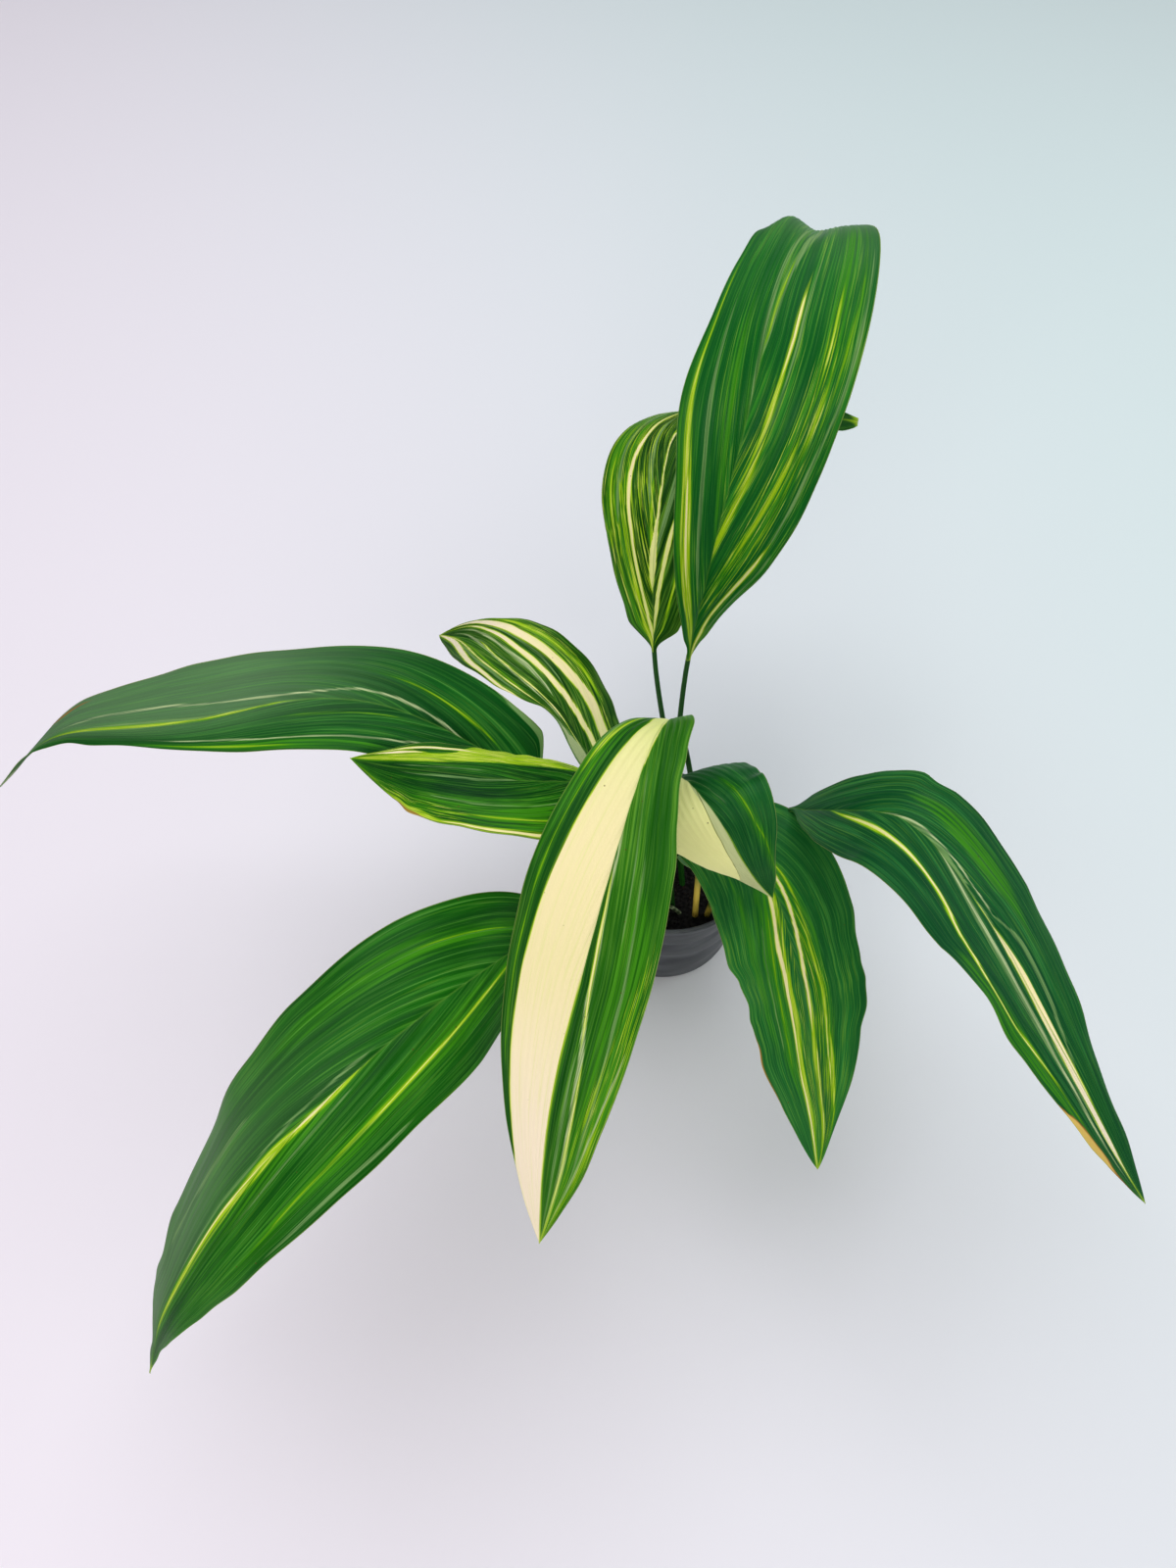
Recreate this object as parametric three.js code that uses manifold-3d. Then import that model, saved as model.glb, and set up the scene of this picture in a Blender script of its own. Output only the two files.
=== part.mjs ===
// A potted cast iron plant with ten variegated leaves, in a small soft nursery pot.
// Millimetres, +Z up. The origin is the centre of the pot's base, and +X is to the right of the
// front view. Each leaf is one piece: a thin stalk that widens into a long ribbed blade.

import * as THREE from "three";
import { mergeVertices } from "three/addons/utils/BufferGeometryUtils.js";
import Module from "manifold-3d";

const wasm = await Module();
wasm.setup();

// Pot: a soft, slightly dented plastic cone with a folded lip.
const potHeight = 122;
const potTopRadius = 76;
const potBaseRadius = 64;
const potWall = 1.4;
const lipWidth = 2.5;
const lipHeight = 5;
const lipRounding = 0.7;
const baseRounding = 4;
const drainHoleCount = 8;
const drainHoleRadius = 4.5;
const drainRingRadius = 50;
const potSides = 44;
const wallLevels = [12, 28, 38, 46, 54, 64, 78, 86, 94, 108];

// Two soft folds dent the wall all the way round. Each sways up and down a few times per turn.
const foldDepth = 1.3;
const wallFolds = [
  { height: 86, spread: 6, sway: 5, swaysPerTurn: 2, swayStart: 1 },
  { height: 46, spread: 8, sway: 6, swaysPerTurn: 3, swayStart: 0 },
];

// Soil: fills the pot to below the lip.
const soilTop = 101;
const soilGap = 0.7;
const moundHeight = 2;
const moundLength = 10;
const soilRings = 5;
const soilSides = 44;

// Stalks: round, thicker at the soil.
const stalkFootRadius = 2.6;
const stalkTopRadius = 1.8;
const stalkHoleClearance = 0.6;
const stubRadius = 1.9;
const roundSides = 12;

// Blades: thicker along the midrib.
const bladeThickness = 0.9;
const ribThickness = 1.7;
const tipHalfWidth = 0.9;
const stalkBands = 8;
const bladeBands = 22;
const blendShare = 0.07;
const acrossStations = [-1, -0.68, -0.34, 0, 0.34, 0.68, 1];

// Each leaf's centre line runs through seven points: foot, stalk, collar where the blade starts,
// three points along the blade, and tip. heading is the compass angle that the blade grows
// towards, counted from +X, and turn is its twist about the centre line at collar, middle and tip.
// width is the widest span. baseTaper and tipTaper shape its outline, skew moves width to the
// right half, and lean moves it to the base. fold lifts both halves into a V, and curl bends the
// margins down. The last three values wave the margins.
const leaves = {
  leaf_back_tall: {
    line: [[-9, -27, 84], [-1, 5, 213], [4, 35, 330], [15, 35, 436], [30, 73, 528], [63, 150, 576],
      [88, 238, 527]],
    heading: 84, turn: [-25, 0, 1], width: 96, baseTaper: 1.12, tipTaper: 1.03,
    skew: 0.13, lean: -0.01, fold: 8, curl: 0.06, waveHeight: 1.5, waves: 3.5, wavePhase: 0.6,
  },
  leaf_back_arched: {
    line: [[15, -26, 84], [0, 17, 203], [-18, 60, 308], [-19, 116, 381], [-7, 194, 402], [57, 234, 389],
      [145, 247, 364]],
    heading: 57, turn: [7, 21, 16], width: 88, baseTaper: 0.59, tipTaper: 0.94,
    skew: -0.04, lean: 0.07, fold: 4, curl: 0.16, waveHeight: 1.5, waves: 3, wavePhase: 0,
  },
  leaf_left_banded: {
    line: [[-30, 0, 84], [-29, -19, 172], [-31, -38, 247], [-59, -26, 295], [-88, 11, 324], [-134, 45, 326],
      [-180, 87, 296]],
    heading: 170, turn: [11, -9, 3], width: 73, baseTaper: 0.72, tipTaper: 0.88,
    skew: 0.12, lean: -0.06, fold: 11, curl: 0, waveHeight: 2, waves: 3, wavePhase: 1.2,
  },
  leaf_left_long: {
    line: [[-37, -20, 84], [-65, -43, 197], [-103, -57, 296], [-198, -25, 353], [-330, -26, 349],
      [-432, -17, 318], [-509, -26, 248]],
    heading: 159, turn: [15, 12, -14], width: 84, baseTaper: 0.42, tipTaper: 1.15,
    skew: 0.12, lean: -0.09, fold: 8, curl: 0.08, waveHeight: 2.5, waves: 3.5, wavePhase: 2,
  },
  leaf_left_short: {
    line: [[-27, -38, 84], [-41, -53, 193], [-54, -69, 288], [-66, -87, 346], [-109, -99, 372],
      [-164, -90, 375], [-221, -66, 355]],
    heading: 191, turn: [-4, -9, 8], width: 71, baseTaper: 0.8, tipTaper: 0.99,
    skew: -0.03, lean: -0.02, fold: 2, curl: 0.2, waveHeight: 1.2, waves: 2.5, wavePhase: 0,
  },
  leaf_front_broad: {
    line: [[-7, -52, 84], [-44, -97, 191], [-85, -148, 283], [-151, -226, 340], [-235, -309, 341],
      [-305, -369, 265], [-346, -401, 152]],
    heading: 199, turn: [40, 3, 22], width: 115, baseTaper: 0.78, tipTaper: 1.48,
    skew: 0.12, lean: -0.11, fold: 1, curl: 0.23, waveHeight: 3, waves: 4, wavePhase: 0.8,
  },
  leaf_front_cream: {
    line: [[23, -52, 84], [16, -48, 218], [-5, -36, 342], [-26, -83, 407], [-53, -168, 390], [-78, -259, 328],
      [-96, -342, 246]],
    heading: 250, turn: [-24, -7, 3], width: 89, baseTaper: 1.18, tipTaper: 0.99,
    skew: 0.1, lean: 0.03, fold: 9, curl: 0.04, waveHeight: 0.8, waves: 2.5, wavePhase: 0,
  },
  leaf_right_small: {
    line: [[5, -42, 84], [-5, -45, 193], [-13, -48, 289], [-7, -68, 341], [9, -103, 355], [32, -124, 324],
      [58, -128, 277]],
    heading: 281, turn: [-2, -8, -28], width: 88, baseTaper: 0.72, tipTaper: 1.22,
    skew: -0.01, lean: 0.03, fold: 4, curl: 0.17, waveHeight: 0.8, waves: 2, wavePhase: 0.5,
  },
  leaf_front_right: {
    line: [[32, -49, 84], [34, -53, 143], [32, -56, 193], [33, -56, 245], [66, -91, 240], [90, -171, 196],
      [96, -269, 135]],
    heading: 299, turn: [-1, -4, -8], width: 102, baseTaper: 0.61, tipTaper: 0.89,
    skew: 0.04, lean: 0, fold: 4, curl: 0.08, waveHeight: 2.2, waves: 4, wavePhase: 1.6,
  },
  leaf_right_long: {
    line: [[48, -9, 84], [73, -10, 183], [85, -35, 258], [138, -93, 325], [188, -155, 310], [232, -237, 275],
      [283, -313, 221]],
    heading: 336, turn: [3, 6, 3], width: 95, baseTaper: 0.77, tipTaper: 0.95,
    skew: 0.09, lean: 0.1, fold: 8, curl: 0.09, waveHeight: 2.2, waves: 3.5, wavePhase: 0.4,
  },
};

// A cut stalk from an older leaf leans in the soil.
const stubFoot = [14, -50, 91];
const stubEnd = [2, -49, 111];

const potFinish = new THREE.MeshStandardMaterial({ color: 0x3a3c40, roughness: 0.55, metalness: 0 });
const soilFinish = new THREE.MeshStandardMaterial({ color: 0x120f0d, roughness: 0.95, metalness: 0 });
const leafFinish = new THREE.MeshStandardMaterial({ color: 0x1f6b2e, roughness: 0.4, metalness: 0 });
const stubFinish = new THREE.MeshStandardMaterial({ color: 0x5a6650, roughness: 0.8, metalness: 0 });

const point = ([x, y, z]) => new THREE.Vector3(x, y, z);

// Turns a closed geometry into a solid that can be cut.
function solidOf(geometry) {
  const bare = geometry.clone();
  bare.deleteAttribute("normal");
  bare.deleteAttribute("uv");
  const merged = mergeVertices(bare, 1e-4);
  const mesh = new wasm.Mesh({
    numProp: 3,
    vertProperties: new Float32Array(merged.attributes.position.array),
    triVerts: new Uint32Array(merged.index.array),
  });
  return new wasm.Manifold(mesh);
}

function geometryOf(solid) {
  const mesh = solid.getMesh();
  const geometry = new THREE.BufferGeometry();
  geometry.setAttribute("position", new THREE.BufferAttribute(mesh.vertProperties, 3));
  geometry.setIndex(new THREE.BufferAttribute(mesh.triVerts, 1));
  return geometry;
}

function geometryFrom(vertices, triangles) {
  const geometry = new THREE.BufferGeometry();
  geometry.setFromPoints(vertices);
  geometry.setIndex(triangles.flat());
  return geometry;
}

// A round bar between two points.
function bar(from, to, radius) {
  const axis = new THREE.Vector3().subVectors(to, from);
  const geometry = new THREE.CylinderGeometry(radius, radius, axis.length(), roundSides);
  const up = new THREE.Vector3(0, 1, 0);
  geometry.applyQuaternion(new THREE.Quaternion().setFromUnitVectors(up, axis.clone().normalize()));
  const middle = new THREE.Vector3().addVectors(from, to).multiplyScalar(0.5);
  geometry.translate(middle.x, middle.y, middle.z);
  return geometry;
}

// Leaves

// Where the blade starts on a centre line, as a share of its length.
function collarShare(curve) {
  const steps = 600;
  const lengths = curve.getLengths(steps);
  const collarPoint = 2;
  const lastPoint = 6;
  return lengths[(steps * collarPoint) / lastPoint] / lengths[steps];
}

// The blade's half width at a share of its length, 0 at the collar and 1 at the tip.
function halfWidth(leaf, share) {
  const { width, baseTaper, tipTaper, lean } = leaf;
  const widest = baseTaper / (baseTaper + tipTaper);
  const peak = widest ** baseTaper * (1 - widest) ** tipTaper;
  const outline = (share ** baseTaper * (1 - share) ** tipTaper) / peak;
  return (width / 2) * outline * (1 + lean * Math.sin(2 * Math.PI * share));
}

// The twist at a share of the blade, a parabola through its three values.
function twistAt(leaf, share) {
  const [atCollar, atMiddle, atTip] = leaf.turn;
  const degrees = atCollar * (1 - share) * (1 - 2 * share)
    + 4 * atMiddle * share * (1 - share)
    + atTip * share * (2 * share - 1);
  return THREE.MathUtils.degToRad(degrees);
}

// The directions across the blade and out of its upper face.
function bladeFrame(leaf, tangent, share) {
  const heading = THREE.MathUtils.degToRad(leaf.heading);
  const across = new THREE.Vector3(Math.sin(heading), -Math.cos(heading), 0);
  across.addScaledVector(tangent, -across.dot(tangent)).normalize();
  const out = new THREE.Vector3().crossVectors(across, tangent);
  const twist = twistAt(leaf, share);
  const turnedAcross = across.clone().multiplyScalar(Math.cos(twist)).addScaledVector(out, Math.sin(twist));
  const turnedOut = out.clone().multiplyScalar(Math.cos(twist)).addScaledVector(across, -Math.sin(twist));
  return { across: turnedAcross, out: turnedOut };
}

// One ring of the loft: points of the upper face and of the lower face, left to right. The ring is
// round on the stalk and changes into the thin blade just past the collar.
function leafRing(leaf, curve, share, lengthShare, radius) {
  const centre = curve.getPointAt(lengthShare);
  const tangent = curve.getTangentAt(lengthShare);
  const onBlade = Math.max(share, 0);
  const { across, out } = bladeFrame(leaf, tangent, onBlade);
  const half = Math.max(halfWidth(leaf, onBlade), tipHalfWidth);
  const fold = THREE.MathUtils.degToRad(leaf.fold);
  const blend = THREE.MathUtils.smoothstep(onBlade, 0, blendShare);
  const last = acrossStations.length - 1;
  const faces = { upper: [], lower: [] };
  for (const [name, sign] of [["upper", 1], ["lower", -1]]) {
    acrossStations.forEach((station, i) => {
      const skewed = half * station * (1 + leaf.skew * Math.sign(station));
      const wave = leaf.waveHeight * Math.abs(station) ** 3 * Math.sin(Math.PI * onBlade)
        * Math.sin(2 * Math.PI * leaf.waves * onBlade + leaf.wavePhase + station);
      const bend = Math.abs(skewed) * Math.sin(fold) - leaf.curl * half * station ** 2 + wave;
      const ribShare = station === 0 ? 1 - onBlade : 0;
      const thickness = THREE.MathUtils.lerp(bladeThickness, ribThickness, ribShare);
      const under = sign > 0 ? bladeThickness / 2 : bladeThickness / 2 - thickness;
      const angle = Math.PI * (1 - (i + 0.5) / (last + 1)) * sign;
      const sideways = THREE.MathUtils.lerp(radius * Math.cos(angle), skewed * Math.cos(fold), blend);
      const outwards = THREE.MathUtils.lerp(radius * Math.sin(angle), bend + under, blend);
      faces[name].push(centre.clone().addScaledVector(across, sideways).addScaledVector(out, outwards));
    });
  }
  return faces;
}

function leafGeometry(leaf) {
  const curve = new THREE.CatmullRomCurve3(leaf.line.map(point), false, "centripetal");
  const collar = collarShare(curve);
  const rings = [];
  for (let i = 0; i < stalkBands; i += 1) {
    const lengthShare = (collar * i) / stalkBands;
    const radius = THREE.MathUtils.lerp(stalkFootRadius, stalkTopRadius, i / stalkBands);
    rings.push(leafRing(leaf, curve, -1, lengthShare, radius));
  }
  for (let i = 0; i <= bladeBands; i += 1) {
    const share = i / bladeBands;
    const lengthShare = collar + (1 - collar) * share;
    rings.push(leafRing(leaf, curve, share, lengthShare, stalkTopRadius));
  }
  return loft(rings);
}

// Joins rings of upper and lower points into one closed surface. Both faces are split along the
// same diagonals, so a waved blade keeps its thickness.
function loft(rings) {
  const perFace = rings[0].upper.length;
  const vertices = rings.flatMap((ring) => [...ring.upper, ...ring.lower]);
  const upper = (ring, i) => ring * 2 * perFace + i;
  const lower = (ring, i) => upper(ring, i) + perFace;
  const triangles = [];
  const quad = (a, b, c, d) => triangles.push([a, b, c], [a, c, d]);
  const lastRing = rings.length - 1;
  const last = perFace - 1;
  for (let ring = 0; ring < lastRing; ring += 1) {
    for (let i = 0; i < last; i += 1) {
      quad(upper(ring, i), upper(ring, i + 1), upper(ring + 1, i + 1), upper(ring + 1, i));
      triangles.push([lower(ring, i), lower(ring + 1, i + 1), lower(ring, i + 1)]);
      triangles.push([lower(ring, i), lower(ring + 1, i), lower(ring + 1, i + 1)]);
    }
    quad(lower(ring, 0), upper(ring, 0), upper(ring + 1, 0), lower(ring + 1, 0));
    quad(upper(ring, last), lower(ring, last), lower(ring + 1, last), upper(ring + 1, last));
  }
  for (let i = 0; i < last; i += 1) {
    quad(lower(0, i), lower(0, i + 1), upper(0, i + 1), upper(0, i));
    quad(upper(lastRing, i), upper(lastRing, i + 1), lower(lastRing, i + 1), lower(lastRing, i));
  }
  return geometryFrom(vertices, triangles);
}

// Pot

function wallRadius(height) {
  return THREE.MathUtils.lerp(potBaseRadius, potTopRadius, height / potHeight);
}

// How far the folds push the wall in at one place.
function foldInset(height, angle) {
  let inset = 0;
  for (const fold of wallFolds) {
    const middle = fold.height + fold.sway * Math.sin(fold.swaysPerTurn * angle + fold.swayStart);
    inset += foldDepth * Math.exp(-(((height - middle) / fold.spread) ** 2));
  }
  return inset;
}

// Pushes the wall between the floor and the lip in along its folds.
function foldWall(geometry) {
  const places = geometry.attributes.position;
  const spot = new THREE.Vector3();
  for (let i = 0; i < places.count; i += 1) {
    spot.fromBufferAttribute(places, i);
    if (spot.z > baseRounding && spot.z < potHeight - lipHeight) {
      const radius = Math.hypot(spot.x, spot.y);
      const scale = 1 - foldInset(spot.z, Math.atan2(spot.y, spot.x)) / radius;
      places.setXYZ(i, spot.x * scale, spot.y * scale, spot.z);
    }
  }
  return geometry;
}

function potGeometry() {
  const lipBottom = potHeight - lipHeight;
  const lipRadius = potTopRadius + lipWidth;
  const mouthRadius = potTopRadius - potWall;
  const roundingMiddle = baseRounding * (1 - Math.SQRT1_2);
  const profile = [
    [0, 0],
    [potBaseRadius - baseRounding, 0],
    [potBaseRadius - roundingMiddle, roundingMiddle],
    [wallRadius(baseRounding), baseRounding],
    ...wallLevels.map((height) => [wallRadius(height), height]),
    [wallRadius(lipBottom), lipBottom],
    [lipRadius, lipBottom + lipRounding],
    [lipRadius, potHeight - lipRounding],
    [lipRadius - lipRounding, potHeight],
    [mouthRadius + lipRounding, potHeight],
    [mouthRadius, potHeight - lipRounding],
    ...wallLevels.toReversed().map((height) => [wallRadius(height) - potWall, height]),
    [wallRadius(baseRounding) - potWall, baseRounding],
    [potBaseRadius - baseRounding, potWall],
    [0, potWall],
  ];
  const outline = profile.map(([radius, height]) => new THREE.Vector2(radius, height));
  const turned = new THREE.LatheGeometry(outline, potSides);
  turned.rotateX(Math.PI / 2);
  let solid = solidOf(foldWall(turned));
  for (let i = 0; i < drainHoleCount; i += 1) {
    const angle = (2 * Math.PI * (i + 0.5)) / drainHoleCount;
    const x = drainRingRadius * Math.cos(angle);
    const y = drainRingRadius * Math.sin(angle);
    const hole = bar(point([x, y, -potWall]), point([x, y, 2 * potWall]), drainHoleRadius);
    solid = solid.subtract(solidOf(hole));
  }
  return geometryOf(solid);
}

// Soil

// The soil's uneven surface.
function soilHeight(x, y) {
  return soilTop + moundHeight * Math.sin(x / moundLength) * Math.cos(y / moundLength);
}

// A vertical outline for the soil along one direction: along its base, up the wall, and in over
// the surface. The first and last points are on the axis and are shared by every direction.
function soilOutline(angle) {
  const gap = potWall + soilGap;
  const levels = [baseRounding + soilGap, ...wallLevels.filter((height) => height < soilTop)];
  const inner = (height) => wallRadius(height) - gap - foldInset(height, angle);
  const side = levels.map((height) => [inner(height), height]);
  const rim = inner(levels.at(-1));
  const surface = [];
  for (let ring = soilRings; ring > 0; ring -= 1) {
    const radius = (rim * ring) / soilRings;
    surface.push([radius, soilHeight(radius * Math.cos(angle), radius * Math.sin(angle))]);
  }
  return [[potBaseRadius - baseRounding - gap, gap], ...side, ...surface];
}

function soilGeometry() {
  const perOutline = soilOutline(0).length;
  const vertices = [point([0, 0, potWall + soilGap]), point([0, 0, soilHeight(0, 0)])];
  const triangles = [];
  const index = (direction, i) => 2 + (direction % soilSides) * perOutline + i;
  for (let direction = 0; direction < soilSides; direction += 1) {
    const angle = (2 * Math.PI * direction) / soilSides;
    for (const [radius, height] of soilOutline(angle)) {
      vertices.push(point([radius * Math.cos(angle), radius * Math.sin(angle), height]));
    }
    triangles.push([0, index(direction + 1, 0), index(direction, 0)]);
    triangles.push([1, index(direction, perOutline - 1), index(direction + 1, perOutline - 1)]);
    for (let i = 0; i < perOutline - 1; i += 1) {
      triangles.push([index(direction, i), index(direction + 1, i), index(direction + 1, i + 1)]);
      triangles.push([index(direction, i), index(direction + 1, i + 1), index(direction, i + 1)]);
    }
  }
  let solid = solidOf(geometryFrom(vertices, triangles));
  for (const hole of stalkHoles()) {
    solid = solid.subtract(solidOf(hole));
  }
  return geometryOf(solid);
}

// A plain hole in the soil for a stalk that starts at foot and points along a direction.
function stalkHole(foot, direction, radius) {
  const depth = 1;
  const length = 45;
  const bottom = foot.clone().addScaledVector(direction, -depth);
  const top = foot.clone().addScaledVector(direction, length);
  return bar(bottom, top, radius + stalkHoleClearance);
}

function stalkHoles() {
  const buriedShare = 0.03;
  const holes = Object.values(leaves).map(({ line }) => {
    const curve = new THREE.CatmullRomCurve3(line.map(point), false, "centripetal");
    const foot = curve.getPointAt(0);
    return stalkHole(foot, curve.getPointAt(buriedShare).sub(foot).normalize(), stalkFootRadius);
  });
  const stubFootPoint = point(stubFoot);
  holes.push(stalkHole(stubFootPoint, point(stubEnd).sub(stubFootPoint).normalize(), stubRadius));
  return holes;
}

// The whole plant

function addPiece(plant, name, geometry, material) {
  const mesh = new THREE.Mesh(geometry, material.clone());
  mesh.name = name;
  plant.add(mesh);
}

const plant = new THREE.Group();
addPiece(plant, "pot", potGeometry(), potFinish);
addPiece(plant, "soil", soilGeometry(), soilFinish);
for (const [name, leaf] of Object.entries(leaves)) {
  addPiece(plant, name, leafGeometry(leaf), leafFinish);
}
addPiece(plant, "old_stalk_stub", bar(point(stubFoot), point(stubEnd), stubRadius), stubFinish);

export default plant;
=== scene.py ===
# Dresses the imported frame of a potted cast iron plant: ten striped leaves, pot, compost, floor and lights.
import math
import random
from functools import partial, reduce

import bpy
import numpy as np
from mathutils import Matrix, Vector, noise


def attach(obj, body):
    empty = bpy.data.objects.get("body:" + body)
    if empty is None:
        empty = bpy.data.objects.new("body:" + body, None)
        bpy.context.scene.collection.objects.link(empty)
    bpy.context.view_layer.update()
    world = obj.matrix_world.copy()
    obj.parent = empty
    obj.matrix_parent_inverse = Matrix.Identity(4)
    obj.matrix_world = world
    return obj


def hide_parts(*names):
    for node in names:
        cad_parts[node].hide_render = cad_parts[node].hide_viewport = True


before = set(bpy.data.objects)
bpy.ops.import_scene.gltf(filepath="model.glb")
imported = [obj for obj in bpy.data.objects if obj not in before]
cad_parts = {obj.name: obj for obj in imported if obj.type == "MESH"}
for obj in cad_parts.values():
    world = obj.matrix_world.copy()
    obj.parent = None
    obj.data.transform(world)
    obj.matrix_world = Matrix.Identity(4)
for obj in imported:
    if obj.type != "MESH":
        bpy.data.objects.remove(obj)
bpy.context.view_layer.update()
mm = 0.001

# Shared helpers


def linearColour(hexText):
    shares = [int(hexText[i:i + 2], 16) / 255 for i in (1, 3, 5)]
    return [c / 12.92 if c <= 0.04045 else ((c + 0.055) / 1.055) ** 2.4 for c in shares] + [1.0]


# Short names for the nodes used most: kind, settings, the sockets that its values fill in turn, output.
nodeForms = {
    "mix": ("ShaderNodeMix", {"data_type": "RGBA"}, (0, 6, 7), 2),
    "ramp": ("ShaderNodeMapRange", {"interpolation_type": "SMOOTHSTEP"}, (0, 1, 2, 3, 4), 0),
    "noise": ("ShaderNodeTexNoise", {}, ("Vector", "Scale", "Detail"), 0),
    "bump": ("ShaderNodeBump", {}, ("Height", "Strength", "Distance"), 0),
    "place": ("ShaderNodeTexCoord", {}, (), "Object"),
    "axes": ("ShaderNodeSeparateXYZ", {}, (0,), None),
}
for word in ("add", "subtract", "multiply", "multiply_add", "maximum", "absolute", "cosine",
             "greater_than"):
    nodeForms[word] = ("ShaderNodeMath", {"operation": word.upper()}, (0, 1, 2), 0)


def addNode(tree, name, *values, settings=None, output=0):
    # Adds a node by short name or kind. Loose values fill or link its sockets in turn, and a dictionary
    # of them goes by socket. It gives the output asked for, or the node where that is None.
    kind, fixed, sockets, output = nodeForms.get(name, (name, {}, range(len(values)), output))
    node = tree.nodes.new(kind)
    for setting, value in {**fixed, **(settings or {})}.items():
        setattr(node, setting, value)
    named = values[0].items() if values and isinstance(values[0], dict) else zip(sockets, values)
    for socket, value in named:
        if isinstance(value, bpy.types.NodeSocket):
            tree.links.new(value, node.inputs[socket])
        else:
            node.inputs[socket].default_value = value
    return node if output is None else node.outputs[output]


def startMaterial(name):
    material = bpy.data.materials.new(name)
    material.use_nodes = True
    material.node_tree.nodes.clear()
    return material, partial(addNode, material.node_tree)


def finishMaterial(put, sockets):
    shader = put("ShaderNodeBsdfPrincipled", sockets)
    put("ShaderNodeOutputMaterial", shader, output=None)


def meshObject(name, vertices, faces, materials, faceSlots=None, smooth=True):
    mesh = bpy.data.meshes.new(name)
    mesh.from_pydata([tuple(v) for v in vertices], [], [tuple(f) for f in faces])
    for material in materials:
        mesh.materials.append(material)
    if faceSlots is not None:
        mesh.polygons.foreach_set("material_index", np.asarray(faceSlots, np.int32))
    mesh.polygons.foreach_set("use_smooth", np.full(len(mesh.polygons), smooth))
    mesh.update()
    thing = bpy.data.objects.new(name, mesh)
    bpy.context.scene.collection.objects.link(thing)
    return thing


# Camera: the photograph's viewing point, in millimetres and degrees. It sees as far as 50 metres.

cameraPlan = {"place": (-67, -495, 985), "tiltDown": 57, "lens": 27.05, "farthest": 50}

cameraData = bpy.data.cameras.new("camera")
cameraData.lens = cameraPlan["lens"]
cameraData.clip_end = cameraPlan["farthest"]
camera = bpy.data.objects.new("camera", cameraData)
camera.location = Vector(cameraPlan["place"]) * mm
camera.rotation_euler = (math.radians(90 - cameraPlan["tiltDown"]), 0, 0)
bpy.context.scene.collection.objects.link(camera)
bpy.context.scene.camera = camera
bpy.context.scene.view_settings.view_transform = "Standard"
bpy.context.scene.view_settings.look = "Medium High Contrast"
print("camera placed")

# Floor and light: a pale studio sheet, lit softly from above and in front. Sizes here are metres.

# The pink and mint whites are painted light: the sheet is white, and they give the cast of the light across
# it.
floorPlan = {"halfSize": 6.0, "pinkWhite": "#f1ecf2", "mintWhite": "#dae8e7",
             "tintSpan": (-0.7333, 1.1), "depthShare": 0.35, "roughness": 0.85, "specular": 0.2}
lightPlans = [
    {"name": "frontSoftbox", "place": (-0.6, -2.4, 1.9), "size": 1.6, "watts": 25, "tint": "#fff6f7"},
    {"name": "topSoftbox", "place": (-0.2, 0.8, 3.2), "size": 3.4, "watts": 54, "tint": "#fbf9ff"},
    {"name": "rightFill", "place": (2.2, 0.6, 1.4), "size": 1.4, "watts": 8, "tint": "#ecfbf7"},
]
lightAim = (0, 0, 0.25)
worldPlan = {"tint": "#f2f3f6", "strength": 0.33}


def paperMaterial(plan):
    # Matt paper backdrop: no gloss. Its white drifts from pink in front and left to a slightly darker mint
    # at the right and back, painted light that stands for the cast of the lamps on a white sheet.
    material, put = startMaterial("mattPaper")
    x, y, _ = put("axes", put("place")).outputs
    # Painted light: the colour shifts from pink to a darker mint across the floor, as the light's cast does.
    lightCastDrift = put("multiply_add", y, plan["depthShare"], x)
    share = put("ramp", lightCastDrift, *plan["tintSpan"])
    colour = put("mix", share, linearColour(plan["pinkWhite"]), linearColour(plan["mintWhite"]))
    finishMaterial(put, {"Base Color": colour, "Roughness": plan["roughness"],
                         "Specular IOR Level": plan["specular"]})
    return material


def makeFloor(plan):
    half = plan["halfSize"]
    corners = [(-half, -half, 0), (half, -half, 0), (half, half, 0), (-half, half, 0)]
    floor = meshObject("floor", corners, [(0, 1, 2, 3)], [paperMaterial(plan)])


def makeLights(plans, aim):
    for plan in plans:
        data = bpy.data.lights.new(plan["name"], "AREA")
        data.shape = "DISK"
        data.size = plan["size"]
        data.energy = plan["watts"]
        data.color = linearColour(plan["tint"])[:3]
        lamp = bpy.data.objects.new(plan["name"], data)
        lamp.location = plan["place"]
        lamp.rotation_euler = (Vector(aim) - lamp.location).to_track_quat("-Z", "Y").to_euler()
        bpy.context.scene.collection.objects.link(lamp)


def makeWorld(plan):
    world = bpy.data.worlds.new("studio")
    bpy.context.scene.world = world
    world.use_nodes = True
    background = world.node_tree.nodes["Background"]
    background.inputs["Color"].default_value = linearColour(plan["tint"])
    background.inputs["Strength"].default_value = plan["strength"]


makeFloor(floorPlan)
makeLights(lightPlans, lightAim)
makeWorld(worldPlan)
print("floor and lights made")
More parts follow.
